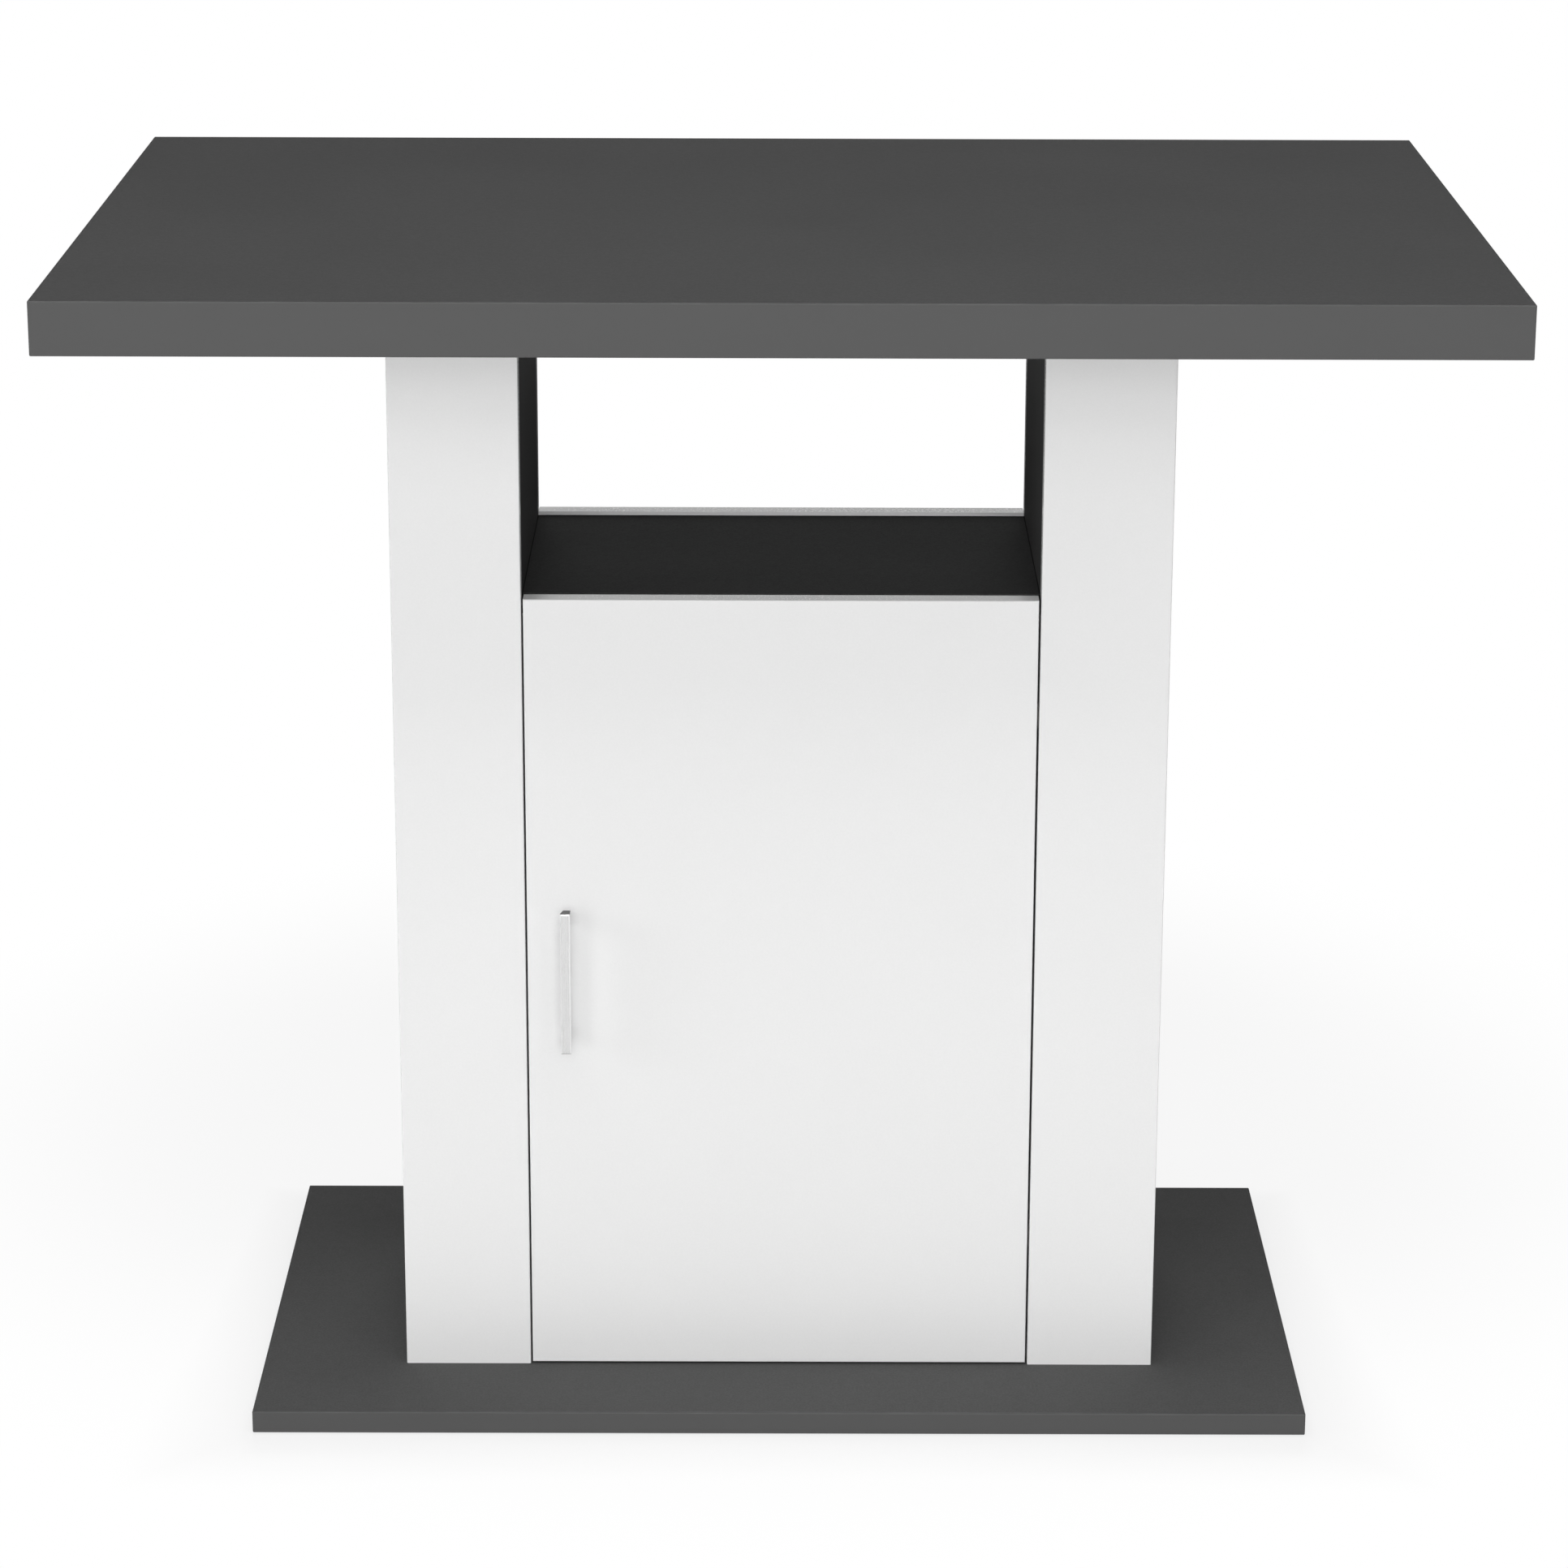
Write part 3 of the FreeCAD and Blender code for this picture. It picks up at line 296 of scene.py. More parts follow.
# %% [markdown]
# ## Black cards for the shine
# Seen this low, even a matt worktop mirrors what stands behind it, and a white background would
# make it pale. A photographer puts a black card there, outside the picture. These two can only be
# met by mirrored rays, so neither the camera nor the soft light sees them. The gap between them
# is at the height where the white edges in the niche mirror the background, because those are
# bright in the photograph.

# %% Black cards
CARD_WIDTH = 9.0
CARD_BEHIND = 0.6
CARD_HEIGHTS = ((0.0, 0.70), (0.95, 5.0))

card_material, card_finish = new_finish("card_black")
card_black = card_finish.node("ShaderNodeBsdfDiffuse", {}, {"Color": grey(0.0)})
card_finish.node("ShaderNodeOutputMaterial", {}, {"Surface": card_black})
for bottom, top in CARD_HEIGHTS:
    centre = (0, CARD_BEHIND, (bottom + top) / 2)
    bpy.ops.mesh.primitive_plane_add(size=1, location=centre, rotation=(math.pi / 2, 0, 0))
    card = bpy.context.object
    card.name = "black_card"
    card.scale = (CARD_WIDTH, top - bottom, 1)
    card.data.materials.append(card_material)
    card.visible_camera = False
    card.visible_diffuse = False
    card.visible_transmission = False
    card.visible_shadow = False
print("cards:", len(CARD_HEIGHTS))

# %% [markdown]
# ## The floor
# The photograph stands on white with a faint shadow near the base. A white floor under a plain
# light is never quite white, so the camera sees mostly plain white near the object, with a share
# of the lit floor that carries the shadow. That share fades to nothing about a metre from a point
# behind the column, so the front stays clean. Close to the base board the share is larger,
# because the photograph shows a narrow soft shadow all along its edges.

# %% Floor
FLOOR_SIZE = 60.0
SHADOW_SHARE = 0.14
SHADOW_CENTRE = (0, 0.45, 0)
SHADOW_NEAR = 0.45
SHADOW_FAR = 0.95
# The larger share along the base paints a soft shade there, even where the floor is lit.
EDGE_SHADE_SHARE = 0.22
CONTACT_REACH = 0.11
FLOOR_GREY = 0.85

bpy.ops.mesh.primitive_plane_add(size=FLOOR_SIZE)
floor = bpy.context.object
floor.name = "floor"
floor_material, floor_finish = new_finish("floor_white")
from_centre = floor_finish.node("ShaderNodeVectorMath", {"operation": "DISTANCE"}, {
    0: floor_finish.place(), 1: SHADOW_CENTRE,
}, "Value")
# Besides carrying the cast shadow, the lit floor's share greys the floor where it is lit, so part
# of this shade is painted.
wide_share = floor_finish.ramp(from_centre, SHADOW_NEAR, SHADOW_FAR, SHADOW_SHARE, 0.0)
base_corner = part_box("base_edging")[1]
floor_x, floor_y, _ = floor_finish.axes()
from_base = (floor_x.size() - base_corner.x).most(floor_y.size() - base_corner.y)
# Along the base's edges the share is raised, which paints a narrow soft shade.
painted_edge_shade = floor_finish.ramp(from_base, 0.0, CONTACT_REACH, EDGE_SHADE_SHARE, 0.0)
lit_share = 1 - seen_directly(floor_finish) * (1 - wide_share.most(painted_edge_shade))
plain_white = floor_finish.node("ShaderNodeEmission", {}, {"Color": grey(1), "Strength": 1.0})
lit_floor = floor_finish.node("ShaderNodeBsdfDiffuse", {}, {"Color": grey(FLOOR_GREY)})
floor_mix = floor_finish.node("ShaderNodeMixShader", {}, {
    0: lit_share, 1: plain_white, 2: lit_floor,
})
floor_finish.node("ShaderNodeOutputMaterial", {}, {"Surface": floor_mix})
floor.data.materials.append(floor_material)
print("floor", FLOOR_SIZE, "m")

# %% [markdown]
# ## Boards
# Every board is chipboard with a printed and pressed face. The face is smooth, with a pearl so
# fine that it shows only as a softer shine. An arris is rubbed a little, so it is paler on a dark
# board. Inside a drilled hole the raw chipboard shows. All this can be worked out from where a
# point lies in the board's own box: on a face it is near one side of the box, on an arris near
# two, and in a hole it is near none. The arrises of pressed boards are never quite sharp, so
# where the niche sides stand on the niche floor there is a fine groove. The groove isn't
# modelled: the shade inside it is painted on as a black line. The narrow sides of the white
# boards are closed by a plastic band, which is smoother than the printed face. Its whiter grey
# is partly the band's own colour and partly painted light, which brightens the door's top and
# the niche's rear rim. A narrow side is where a point lies nearer to an end of the board than to
# its faces.

# %% Board finish
RAW_DEPTH = 0.00045
ARRIS_START = 0.0002
ARRIS_WIDTH = 0.0016
# The groove isn't cut into the board: its black line is painted shade.
GROOVE_SHADE_CORE = 0.0003
GROOVE_SHADE_WIDTH = 0.0010
GROOVE_SHADE_GREY = 0.003
EDGE_SOFT = 0.0002
EDGE_SPREAD = 0.02
RUBBED_GAIN = 1.9
RUBBED_LIFT = 0.04
RUBBED_MOST = 0.9
CHIP_DARK = (0.30, 0.19, 0.10, 1)
CHIP_LIGHT = (0.72, 0.55, 0.36, 1)


def two_greys(finish, pattern, colour, spread):
    """A pattern of two greys, a share below and above a colour."""
    return finish.tint(pattern, grey(colour * (1 - spread)), grey(colour * (1 + spread)))


def board_finish(name, box, groove_shades, colour, spread, roughness, shine, rub, edge):
    """A melamine board in its box, with the painted shade of its grooves and, if given, an edge
    band's grey and roughness. The spread is how far the colour varies, and the rub is how pale its
    arrises are."""
    material, finish = new_finish(name)
    low, high = box
    places = finish.axes()
    depths = []
    for axis, place in enumerate(places):
        depths.append((place - low[axis]).least(high[axis] - place))
    nearest = depths[0].least(depths[1]).least(depths[2])
    second = depths[0].least(depths[1]).most(depths[0].most(depths[1]).least(depths[2]))
    raw = finish.ramp(nearest, RAW_DEPTH, RAW_DEPTH * 1.5)
    cloud = finish.noise(scale=7.0)
    pearl = finish.noise(scale=620.0, detail=1.0)
    mottle = finish.noise(scale=170.0)
    rubbed_here = finish.ramp(finish.noise(scale=60.0), 0.35, 0.75)
    worn = finish.fade(second, ARRIS_START, ARRIS_WIDTH) * rubbed_here
    pattern = cloud * 0.3 + mottle * 0.3 + finish.ramp(pearl, 0.3, 0.7) * 0.4
    shade = two_greys(finish, pattern, colour, spread)
    if edge:
        band_grey_and_painted_light, edge_roughness = edge
        sides = list(high - low)
        from_faces = depths.pop(sides.index(min(sides)))
        banded = finish.ramp(from_faces - depths[0].least(depths[1]), 0.0, EDGE_SOFT)
        # The band's grey is partly its own colour and partly painted light on the narrow sides.
        shade = finish.tint(banded, shade, two_greys(finish, mottle, band_grey_and_painted_light, EDGE_SPREAD))
        roughness = roughness + banded * (edge_roughness - roughness)
    rubbed = grey(min(colour * RUBBED_GAIN + RUBBED_LIFT, RUBBED_MOST))
    face = finish.tint(worn * rub, shade, rubbed)
    # The shade inside each groove is painted as a near-black line.
    for axis, groove in groove_shades:
        from_groove = (places[axis] - groove).size()
        dark = finish.fade(from_groove, GROOVE_SHADE_CORE, GROOVE_SHADE_WIDTH)
        face = finish.tint(dark, face, grey(GROOVE_SHADE_GREY))
    chips = finish.noise(scale=420.0, detail=3.0, stretch=(1, 1, 2.5))
    dents = finish.noise(scale=260.0)
    finish.skin(
        Base_Color=finish.tint(raw, face, finish.tint(chips, CHIP_DARK, CHIP_LIGHT)),
        Roughness=roughness + (cloud - 0.5) * 0.10 + (pearl - 0.5) * 0.12 + raw * 0.3 - worn * 0.08,
        Specular_IOR_Level=shine,
        Normal=finish.bump(dents * 0.35 + pearl * 0.65, distance=0.00004),
    )
    return material


print("board finish ready")

# %% [markdown]
# ## Edge bands
# The dark boards are closed by plastic bands 2 mm thick, glued on and milled flush. A band is a
# shade darker than its board and a little smoother, with fine lines along it from the milling.
# Its glue line shows as a thin dark joint, because the band is a solid of its own.

# %% Edge band finish
BAND_ARRIS_START = 0.0004
BAND_SPREAD = 0.05
BAND_RUB = 0.10
BAND_RUBBED_GAIN = 2.2
BAND_ROUGHNESS = 0.52


def band_finish(name, box, colour):
    """A milled plastic edge band, with lines along the board and paler rubbed corners."""
    material, finish = new_finish(name)
    low, high = box
    height = finish.axes()[2]
    from_arris = (height - low[2]).least(high[2] - height)
    rubbed_here = finish.ramp(finish.noise(scale=45.0), 0.3, 0.75)
    worn = finish.fade(from_arris, BAND_ARRIS_START, ARRIS_WIDTH) * rubbed_here
    cloud = finish.noise(scale=6.0)
    lines = finish.noise(scale=30.0, stretch=(1, 1, 60))
    speck = finish.noise(scale=1100.0, detail=1.0)
    shade = two_greys(finish, cloud * 0.6 + lines * 0.2 + speck * 0.2, colour, BAND_SPREAD)
    finish.skin(
        Base_Color=finish.tint(worn * BAND_RUB, shade, grey(colour * BAND_RUBBED_GAIN)),
        Roughness=BAND_ROUGHNESS + (lines - 0.5) * 0.12 + (speck - 0.5) * 0.08 - worn * 0.08,
        Specular_IOR_Level=0.2,
        Normal=finish.bump(speck * 0.6 + lines * 0.4, distance=0.00003),
    )
    return material


print("edge band finish ready")

# %% [markdown]
# ## Wood
# The cleats hidden in the legs are planed softwood, and the dowels are turned beech. Softwood has
# wide soft stripes along its length, and beech has short dark flecks. Both come from noise that
# is stretched along the grain.

# %% Wood finishes
ALONG_GRAIN = (1, 0.02, 1)
SOFTWOOD_PALE = (0.74, 0.56, 0.36, 1)
SOFTWOOD_STRIPE = (0.52, 0.33, 0.17, 1)
SOFTWOOD_FIBRE = (0.40, 0.25, 0.13, 1)
SOFTWOOD_ROUGHNESS = 0.62
BEECH_DARK = (0.60, 0.40, 0.24, 1)
BEECH_LIGHT = (0.72, 0.52, 0.34, 1)
BEECH_FLECK = (0.36, 0.20, 0.10, 1)
BEECH_ROUGHNESS = 0.55


def softwood_finish(name):
    """Planed softwood with its grain from front to back."""
    material, finish = new_finish(name)
    bend = finish.noise(scale=5.0, stretch=(1, 0.3, 1))
    stripes = finish.noise(scale=70.0, detail=3.0, stretch=ALONG_GRAIN) + (bend - 0.5) * 0.5
    fibres = finish.noise(scale=600.0, stretch=ALONG_GRAIN)
    colour = finish.tint(finish.ramp(stripes, 0.35, 0.7), SOFTWOOD_PALE, SOFTWOOD_STRIPE)
    finish.skin(
        Base_Color=finish.tint(fibres * 0.35, colour, SOFTWOOD_FIBRE),
        Roughness=SOFTWOOD_ROUGHNESS + (fibres - 0.5) * 0.2,
        Normal=finish.bump(stripes * 0.5 + fibres * 0.5, distance=0.00012),
    )
    return material


def beech_finish(name):
    """Turned beech with short dark flecks."""
    material, finish = new_finish(name)
    tone = finish.noise(scale=90.0, stretch=(1, 0.3, 1))
    flecks = finish.ramp(finish.noise(scale=900.0, detail=1.0, stretch=(1, 0.15, 1)), 0.58, 0.7)
    colour = finish.tint(tone, BEECH_DARK, BEECH_LIGHT)
    finish.skin(
        Base_Color=finish.tint(flecks * 0.5, colour, BEECH_FLECK),
        Roughness=BEECH_ROUGHNESS + flecks * 0.15,
        Normal=finish.bump(tone - flecks * 0.5, distance=0.00008),
    )
    return material


print("wood finishes ready")

# %% [markdown]
# ## Metal and plastic
# Brushed or plated metal is one colour with a changing shine, so its pattern goes into roughness
# and bump more than into colour. The lines of a brushed bar run along its length. Moulded plastic
# has a fine even texture and no lines.

# %% Metal and plastic finishes
CUT_BLUR = 0.0002
END_TINT_DEPTH = 0.0005
SATIN_DARK = grey(0.60)
SATIN_LIGHT = grey(0.68)
# The bevels' paler grey is a painted highlight, where the chamfers catch the light.
BEVEL_HIGHLIGHT_GREY = grey(0.88)
# The bar's two ends are nearly black.
END_DARK = grey(0.10)
END_LIGHT = grey(0.20)
BRUSHED_ROUGHNESS = 0.28


def metal_finish(name, dark, light, roughness, spread, scale, dent):
    """Plated metal: a fine even grain and slow smears, whose roughness varies by the spread."""
    material, finish = new_finish(name)
    grain = finish.noise(scale)
    smear = finish.noise(scale=25.0)
    finish.skin(
        Base_Color=finish.tint(grain * 0.6 + smear * 0.4, dark, light),
        Metallic=1.0,
        Roughness=roughness + (grain - 0.5) * spread + (smear - 0.5) * spread,
        Normal=finish.bump(grain, dent),
    )
    return material


def plastic_finish(name, dark, light, roughness, scale, dent, **sockets):
    """Moulded plastic, rubber or sintered ferrite, with an even fine texture."""
    material, finish = new_finish(name)
    grain = finish.noise(scale)
    cloud = finish.noise(scale=30.0)
    finish.skin(
        Base_Color=finish.tint(grain * 0.5 + cloud * 0.5, dark, light),
        Roughness=roughness + (grain - 0.5) * 0.15 + (cloud - 0.5) * 0.1,
        Normal=finish.bump(grain, dent),
        **sockets,
    )
    return material


def handle_finish(name, box, bevel):
    """Satin aluminium brushed along its length, with a painted highlight on its bevels and nearly
    black, rougher ends.
    """
    material, finish = new_finish(name)
    low, high = box
    _, depth, height = finish.axes()
    from_end = (height - low.z).least(high.z - height)
    # The bar's two ends, nearly black and rougher.
    bar_ends = finish.fade(from_end, CUT_BLUR, END_TINT_DEPTH)
    behind_face = depth - low.y
    past_face = finish.ramp(behind_face, CUT_BLUR * 0.5, CUT_BLUR * 1.5)
    # The bevels round the face, with a painted highlight.
    painted_bevel_highlight = past_face * finish.fade(behind_face, bevel, bevel + CUT_BLUR)
    lines = finish.noise(scale=2600.0, stretch=(1, 1, 0.012))
    end_marks = finish.noise(scale=900.0, detail=1.0, stretch=(1, 0.05, 1))
    smear = finish.noise(scale=40.0)
    satin = finish.tint(lines * 0.8 + smear * 0.2, SATIN_DARK, SATIN_LIGHT)
    satin_with_bevel_highlight = finish.tint(painted_bevel_highlight, satin, BEVEL_HIGHLIGHT_GREY)
    end_colour = finish.tint(end_marks, END_DARK, END_LIGHT)
    finish.skin(
        Base_Color=finish.tint(bar_ends, satin_with_bevel_highlight, end_colour),
        Metallic=1.0,
        Roughness=BRUSHED_ROUGHNESS + (lines - 0.5) * 0.12 + (smear - 0.5) * 0.06 + bar_ends * 0.3,
        Normal=finish.bump(lines, distance=0.000008),
    )
    return material


print("metal and plastic finishes ready")

# %% [markdown]
# ## Dressing the solids
# Each solid gets the finish of the material slot that the record names for it. Boards and bands
# get one of their own, because their patterns are worked out from their own box. The niche
# floor's box reaches forward to its two ends, and between them its front stands back behind the
# door. So the front of its box is moved back, or its front edge would count as the inside of a
# hole.

# %% Finishes for the solids
ANTHRACITE = 0.079
BAND_GREY = 0.070
# The niche boards are the same anthracite, darkened to paint the shade inside the niche.
NICHE_SHADED_ANTHRACITE = 0.045
WHITE = 0.745
# Whiter than the face: partly the band's own colour, partly painted light on the door's top, the
# seams beside the door and the niche's rear rim.
WHITE_BAND_AND_PAINTED_LIGHT = 0.80
WHITE_EDGE_ROUGHNESS = 0.26
FACE_BEVEL = 0.0013
BOARDS = {
    "anthracite_board": {
        "colour": ANTHRACITE, "spread": 0.24, "roughness": 0.68, "shine": 0.12, "rub": 0.10,
        "edge": None,
    },
    # Darker than the other anthracite boards: the painted shade of the niche.
    "niche_board": {
        "colour": NICHE_SHADED_ANTHRACITE, "spread": 0.36, "roughness": 0.68, "shine": 0.02, "rub": 0.10,
        "edge": None,
    },
    "white_board": {
        "colour": WHITE, "spread": 0.018, "roughness": 0.40, "shine": 0.50, "rub": 0.25,
        "edge": (WHITE_BAND_AND_PAINTED_LIGHT, WHITE_EDGE_ROUGHNESS),
    },
}
OTHERS = {
    "raw_timber": softwood_finish("planed_softwood"),
    "beech_dowel": beech_finish("turned_beech"),
    "zinc_steel": metal_finish(
        "zinc_plated_steel", dark=(0.50, 0.51, 0.53, 1), light=(0.68, 0.69, 0.70, 1),
        roughness=0.34, spread=0.16, scale=380.0, dent=0.00002),
    "nickel_steel": metal_finish(
        "nickel_plated_steel", dark=(0.58, 0.57, 0.54, 1), light=(0.74, 0.72, 0.69, 1),
        roughness=0.24, spread=0.12, scale=260.0, dent=0.00001),
    "handle_metal": handle_finish("satin_aluminium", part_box("door_handle"), FACE_BEVEL),
    "white_plastic": plastic_finish(
        "white_plastic", dark=grey(0.76), light=grey(0.84),
        roughness=0.42, scale=1500.0, dent=0.00002),
    "magnet": plastic_finish(
        "sintered_ferrite", dark=grey(0.05), light=grey(0.09),
        roughness=0.55, scale=900.0, dent=0.00004),
    "clear_rubber": plastic_finish(
        "clear_rubber", dark=grey(0.80), light=grey(0.88),
        roughness=0.22, scale=700.0, dent=0.00001, Transmission_Weight=0.55, IOR=1.41),
    "glide_plastic": plastic_finish(
        "dark_plastic", dark=grey(0.045), light=grey(0.065),
        roughness=0.5, scale=1300.0, dent=0.00003),
}

FLOOR_SETBACK = 0.0046
SETBACK_SPARE = 0.0001
left_side, right_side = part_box("niche_side_left"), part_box("niche_side_right")
standing_on = ((2, left_side[0].z),)
# The axis and the place of each groove whose shade is painted on a board
PAINTED_GROOVE_SHADES = {
    "niche_floor": ((0, left_side[1].x), (0, right_side[0].x)),
    "niche_side_left": standing_on,
    "niche_side_right": standing_on,
}

for part in frame["record"]["subparts"]:
    node = part["node"]
    slot = part["material_slot"]
    solid = nodes[node]
    if slot in BOARDS:
        low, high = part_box(node)
        if node == "niche_floor":
            low.y += FLOOR_SETBACK + SETBACK_SPARE
        groove_shades = PAINTED_GROOVE_SHADES.get(node, ())
        material = board_finish(node + "_finish", (low, high), groove_shades, **BOARDS[slot])
    elif slot == "anthracite_edge_band":
        material = band_finish(node + "_finish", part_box(node), BAND_GREY)
    else:
        material = OTHERS[slot]
    solid.data.materials.clear()
    solid.data.materials.append(material)
print("finishes:", len(bpy.data.materials))

# %% [markdown]
# ## Tools for modelling
# The metal pieces are modelled with Blender's own tools: start from a simple form, go into edit
# mode, choose points or edges by where they are, and move, extrude or bevel them. Only the points
# are moved, never the object as a whole, so each finished piece keeps its origin at the world's
# origin.

# %% Modelling tools
PARALLEL_SHARE = 0.99
MERGE_WITHIN = 0.000001
FLAT_WITHIN = math.radians(1)
SHARP_ABOVE = math.radians(35)
SMOOTH_BELOW = math.radians(40)
SOFT_SEGMENTS = 2


def only(piece):
    """Makes one piece the selected and active one."""
    bpy.ops.object.select_all(action="DESELECT")
    piece.select_set(True)
    bpy.context.view_layer.objects.active = piece


def remove(piece):
    """Deletes a helper piece with its mesh."""
    mesh = piece.data
    bpy.data.objects.remove(piece)
    bpy.data.meshes.remove(mesh)


def choose(piece, test, what="verts"):
    """In edit mode, selects the points, edges or faces for which a test is true."""
    bpy.ops.mesh.select_all(action="DESELECT")
    mesh = bmesh.from_edit_mesh(piece.data)
    chosen = [element for element in getattr(mesh, what) if test(element)]
    for element in chosen:
        element.select_set(True)
    bmesh.update_edit_mesh(piece.data)


def edge_along(edge, axis):
    """Whether an edge runs along an axis."""
    run = edge.verts[0].co - edge.verts[1].co
    return abs(run[axis]) > PARALLEL_SHARE * run.length


def block(name, low, high):
    """A box between two corners."""
    bpy.ops.object.select_all(action="DESELECT")
    bpy.ops.mesh.primitive_cube_add(size=1)
    piece = bpy.context.object
    piece.name = name
    bpy.ops.object.mode_set(mode="EDIT")
    bpy.ops.mesh.select_all(action="SELECT")
    bpy.ops.transform.resize(value=high - low, center_override=(0, 0, 0))
    bpy.ops.transform.translate(value=(low + high) / 2)
    bpy.ops.object.mode_set(mode="OBJECT")
    return piece


def lathe(name, rings, sides):
    """A round piece on the Z axis: a disc extruded through rings, each a radius and a height."""
    bpy.ops.object.select_all(action="DESELECT")
    (radius, height), *others = rings
    bpy.ops.mesh.primitive_circle_add(vertices=sides, radius=radius, fill_type="NGON")
    piece = bpy.context.object
    piece.name = name
    bpy.ops.object.mode_set(mode="EDIT")
    bpy.ops.mesh.select_all(action="SELECT")
    bpy.ops.transform.translate(value=(0, 0, height))
    for wider, higher in others:
        bpy.ops.mesh.extrude_region_move(TRANSFORM_OT_translate={"value": (0, 0, higher - height)})
        share = wider / radius
        bpy.ops.transform.resize(value=(share, share, 1), center_override=(0, 0, higher))
        radius, height = wider, higher
    bpy.ops.mesh.select_all(action="SELECT")
    bpy.ops.mesh.normals_make_consistent(inside=False)
    bpy.ops.object.mode_set(mode="OBJECT")
    return piece


def combine(piece, tool, operation):
    """Joins a second form to a piece or cuts it away."""
    only(piece)
    bpy.ops.object.modifier_add(type="BOOLEAN")
    modifier = piece.modifiers[-1]
    modifier.operation = operation
    modifier.solver = "EXACT"
    modifier.object = tool
    bpy.ops.object.modifier_apply(modifier=modifier.name)
    remove(tool)


def soften(piece, width):
    """Rounds the sharp edges of a piece and shades them smoothly, while big faces stay flat."""
    only(piece)
    bpy.ops.object.modifier_add(type="BEVEL")
    bevel = piece.modifiers[-1]
    bevel.width = width
    bevel.segments = SOFT_SEGMENTS
    bevel.limit_method = "ANGLE"
    bevel.angle_limit = SHARP_ABOVE
    bevel.use_clamp_overlap = True
    bpy.ops.object.modifier_apply(modifier=bevel.name)
    bpy.ops.object.shade_smooth_by_angle(angle=SMOOTH_BELOW)
    bpy.ops.object.modifier_add(type="WEIGHTED_NORMAL")
    flatten = piece.modifiers[-1]
    flatten.keep_sharp = True
    bpy.ops.object.modifier_apply(modifier=flatten.name)


def put_in(piece, body, slot, *replaced):
    """Lets a finished piece stand for its CAD nodes, move with a body and take a finish."""
    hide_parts(*replaced)
    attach(piece, body)
    piece.data.materials.clear()
    piece.data.materials.append(OTHERS[slot])
    print(piece.name, "faces", len(piece.data.polygons))


def merged_copy(node, name):
    """A copy of a CAD node whose loose triangles are joined into whole faces."""
    piece = bpy.data.objects.new(name, nodes[node].data.copy())
    bpy.context.scene.collection.objects.link(piece)
    only(piece)
    bpy.ops.object.mode_set(mode="EDIT")
    bpy.ops.mesh.select_all(action="SELECT")
    bpy.ops.mesh.remove_doubles(threshold=MERGE_WITHIN)
    bpy.ops.mesh.dissolve_limited(angle_limit=FLAT_WITHIN)
    bpy.ops.object.mode_set(mode="OBJECT")
    return piece


print("modelling tools ready")

# %% [markdown]
# ## The door handle
# The handle is an extruded aluminium bar, sawn to length, on two posts that screws pull against
# the door. Its face has a wide bevel all round, and the side towards the middle of the island is
# upright while the other one leans inwards. It starts as a box. One back edge is pushed in, the
# edges of the face are bevelled, the posts are joined on, and all the remaining edges get a very
# fine rounding.

# %% Door handle
BAR_THICK = 0.010
BAR_DRAFT = 0.0025
POST_SPACING = 0.096
POST_WIDTH = 0.005
POST_HEIGHT = 0.009
POST_ROUND = 0.0015
POST_SEGMENTS = 4
POST_SINK = 0.0025
FINE_ROUND = 0.0003

handle_low, handle_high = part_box("door_handle")
face_y = handle_low.y
middle_y = face_y + BAR_THICK / 2
back_y = face_y + BAR_THICK
middle = (handle_low + handle_high) / 2

handle = block("bar_handle", handle_low, Vector((handle_high.x, back_y, handle_high.z)))
bpy.ops.object.mode_set(mode="EDIT")
choose(handle, lambda point: point.co.x < middle.x and point.co.y > middle_y)
bpy.ops.transform.translate(value=(BAR_DRAFT, 0, 0))
choose(handle, lambda edge: all(point.co.y < middle_y for point in edge.verts), "edges")
bpy.ops.mesh.bevel(offset=FACE_BEVEL, offset_type="OFFSET", segments=1, affect="EDGES")
bpy.ops.object.mode_set(mode="OBJECT")

for side in (-1, 1):
    half = Vector((POST_WIDTH / 2, 0, POST_HEIGHT / 2))
    foot = Vector((middle.x, handle_high.y, middle.z + side * POST_SPACING / 2))
    root = Vector((middle.x, back_y - POST_SINK, foot.z))
    post = block("post", root - half, foot + half)
    bpy.ops.object.mode_set(mode="EDIT")
    choose(post, lambda edge: edge_along(edge, 1), "edges")
    bpy.ops.mesh.bevel(offset=POST_ROUND, segments=POST_SEGMENTS, affect="EDGES")
    bpy.ops.object.mode_set(mode="OBJECT")
    combine(handle, post, "UNION")
soften(handle, FINE_ROUND)
put_in(handle, "door_leaf", "handle_metal", "door_handle")

# %% [markdown]
# ## Screws
# A CAD screw is a plain pin with a head. A real one is cold-headed: its head is a smooth dome or
# a flat cone, and the punch leaves a cross recess with tapered wings. Every kind is modelled
# once, on the Z axis, as a disc that is extruded ring by ring, and the recess is cut by two
# crossed blades. Copies of it then go where the CAD screws are, each turned along its own
# direction.

# %% Screws
# Shares of the head's radius and of its height, from the crown down to the seat
HEAD_RINGS = ((0.25, 1.0), (0.52, 0.95), (0.76, 0.78), (0.92, 0.50), (1.0, 0.16), (0.97, 0.0))
SCREW_SIDES = 24
WING_SHARE = 0.58
WING_THICK_SHARE = 0.17
RECESS_SHARE = 0.62
RECESS_TAPER = 0.45
TIP_SHARE = 0.35


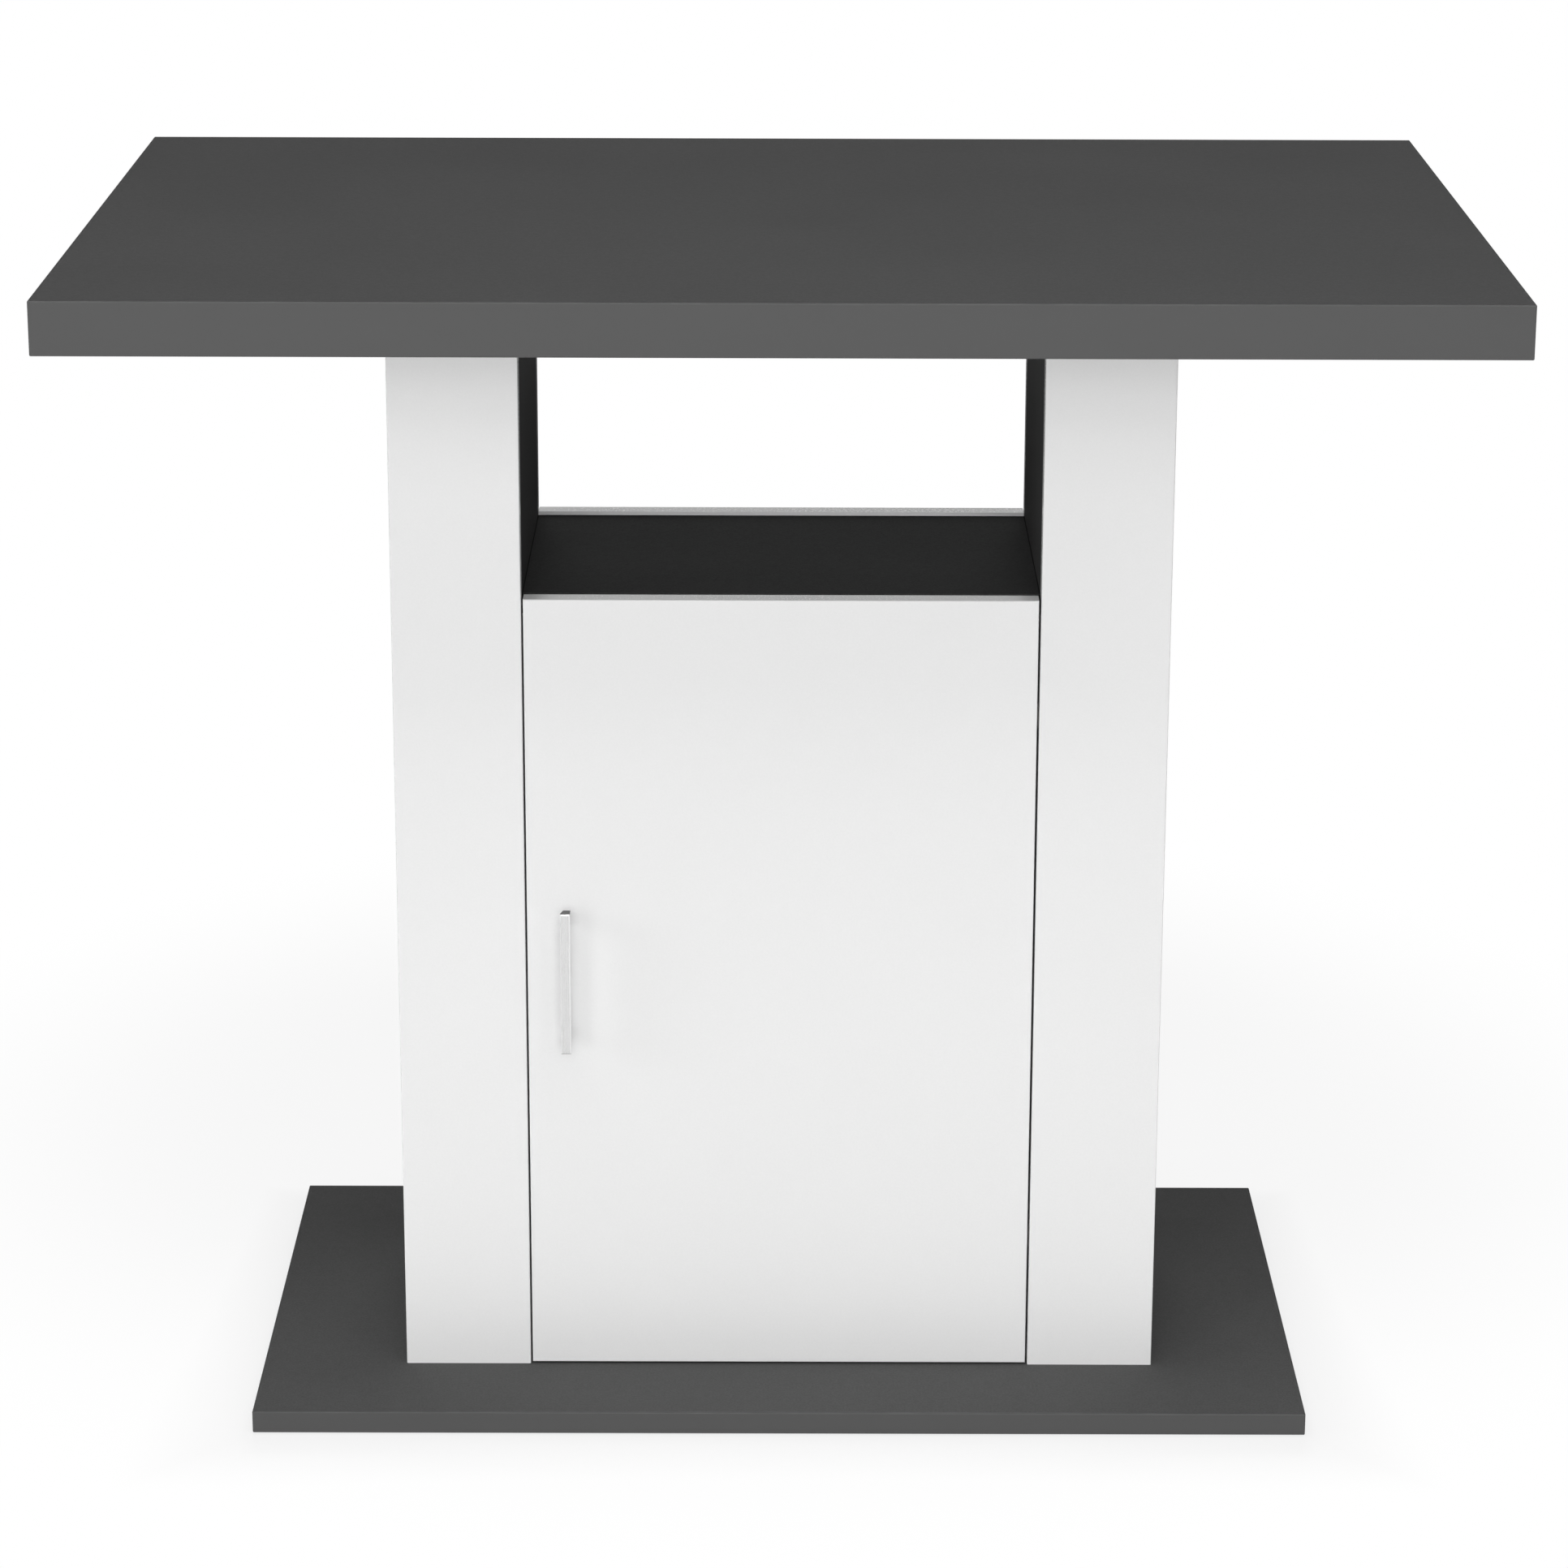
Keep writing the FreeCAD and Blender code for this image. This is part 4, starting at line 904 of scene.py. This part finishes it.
def model_screw(name, shank, length, head, height, domed):
    """One screw that points down the Z axis, with its head's seat or its flat top at zero."""
    if domed:
        rings = [(head * wide, height * high) for wide, high in HEAD_RINGS] + [(shank, 0.0)]
        top = height
    else:
        rings = [(head, 0.0), (shank, -height)]
        top = 0.0
    rings += [(shank, shank - length), (shank * TIP_SHARE, -length)]
    screw = lathe(name, rings, SCREW_SIDES)
    depth = height * RECESS_SHARE
    half = Vector((head * WING_SHARE, head * WING_THICK_SHARE, 0))
    for turn in (0, math.pi / 2):
        bottom, over = Vector((0, 0, top - depth)), Vector((0, 0, top + depth))
        blade = block("blade", bottom - half, over + half)
        bpy.ops.object.mode_set(mode="EDIT")
        choose(blade, lambda point: point.co.z < top)
        bpy.ops.transform.resize(value=(RECESS_TAPER, RECESS_TAPER, 1), center_override=(0, 0, top))
        bpy.ops.mesh.select_all(action="SELECT")
        bpy.ops.transform.rotate(value=turn, orient_axis="Z", center_override=(0, 0, 0))
        bpy.ops.object.mode_set(mode="OBJECT")
        combine(screw, blade, "DIFFERENCE")
    only(screw)
    bpy.ops.object.shade_smooth_by_angle(angle=SHARP_ABOVE)
    return screw


def solid_boxes(node):
    """The lowest and highest corners of each separate solid of a CAD node."""
    merged_copy(node, "solids")
    bpy.ops.object.mode_set(mode="EDIT")
    bpy.ops.mesh.select_all(action="SELECT")
    bpy.ops.mesh.separate(type="LOOSE")
    bpy.ops.object.mode_set(mode="OBJECT")
    boxes = []
    for solid in list(bpy.context.selected_objects):
        points = [vertex.co for vertex in solid.data.vertices]
        low = Vector([min(point[axis] for point in points) for axis in range(3)])
        high = Vector([max(point[axis] for point in points) for axis in range(3)])
        boxes.append((low, high))
        remove(solid)
    return boxes


def place_screws(node, body, slot, direction, shank, length, head, height, domed):
    """Puts a modelled screw in the place of each CAD screw of a node, all along one direction."""
    screw = model_screw(node + "_model", shank, length, head, height, domed)
    turn = (-direction).to_track_quat("Z", "Y").to_matrix().to_4x4()
    copies = []
    for low, high in solid_boxes(node):
        middle = (low + high) / 2
        reach = abs((high - low).dot(direction)) / 2
        outer_end = middle - direction * reach
        seat = outer_end + direction * (height if domed else 0)
        copy = bpy.data.objects.new(node + "_copy", screw.data.copy())
        bpy.context.scene.collection.objects.link(copy)
        copy.data.transform(Matrix.Translation(seat) @ turn)
        copies.append(copy)
    remove(screw)
    only(copies[0])
    for copy in copies:
        copy.select_set(True)
    if len(copies) > 1:
        bpy.ops.object.join()
    screws = bpy.context.object
    screws.name = node + "_crossed"
    put_in(screws, body, slot, node)


UP = Vector((0, 0, 1))
RIGHT = Vector((1, 0, 0))
FORWARD = Vector((0, -1, 0))
# Node, body, slot, direction, shank radius, length, head radius and height, and whether it is domed
SCREWS = (
    ("handle_screws", "door_leaf", "zinc_steel", FORWARD, 0.0020, 0.0240, 0.0040, 0.0024, True),
    ("hinge_cup_screws", "door_leaf", "nickel_steel", FORWARD, 0.0016, 0.012, 0.0036, 0.0017, True),
    ("hinge_plate_screws", "root", "nickel_steel", RIGHT, 0.0025, 0.0130, 0.0038, 0.0018, True),
    ("hinge_arm_screws", "root", "nickel_steel", RIGHT, 0.0020, 0.0046, 0.0032, 0.0015, True),
    ("catch_screws", "root", "zinc_steel", UP, 0.0015, 0.0140, 0.0030, 0.0018, True),
    ("strike_screw", "door_leaf", "zinc_steel", FORWARD, 0.0015, 0.0120, 0.0030, 0.0016, False),
    ("base_screws", "root", "zinc_steel", UP, 0.0025, 0.0320, 0.0048, 0.0026, False),
    ("rear_panel_screws", "root", "zinc_steel", UP, 0.0025, 0.0520, 0.0048, 0.0026, False),
    ("worktop_screws", "root", "zinc_steel", UP, 0.0025, 0.0350, 0.0048, 0.0026, True),
)
for screw_kind in SCREWS:
    place_screws(*screw_kind)

# %% [markdown]
# ## Stamped and moulded pieces
# The hinges are stamped from sheet steel, and the catch is moulded. Neither has a truly sharp
# edge: a stamping die leaves a small radius, and a mould needs one. Their CAD shapes are right,
# so each piece is a merged copy of its node, with every sharp edge rounded by less than half a
# millimetre. That small rounding catches the light along the edges and makes the metal look
# pressed.

# %% Softened fittings
# Node, body, slot, and the width of its rounded edges
FITTINGS = (
    ("lower_hinge_cup", "door_leaf", "nickel_steel", 0.00015),
    ("upper_hinge_cup", "door_leaf", "nickel_steel", 0.00015),
    ("lower_hinge_arm", "root", "nickel_steel", 0.0002),
    ("upper_hinge_arm", "root", "nickel_steel", 0.0002),
    ("lower_hinge_plate", "root", "nickel_steel", 0.0002),
    ("upper_hinge_plate", "root", "nickel_steel", 0.0002),
    ("catch_housing", "root", "white_plastic", 0.00025),
    ("strike_plate", "door_leaf", "zinc_steel", 0.0002),
    ("shelf_pins", "root", "zinc_steel", 0.0002),
    ("base_glides", "root", "glide_plastic", 0.0004),
)
for node, body, slot, width in FITTINGS:
    fitting = merged_copy(node, node + "_soft")
    soften(fitting, width)
    put_in(fitting, body, slot, node)
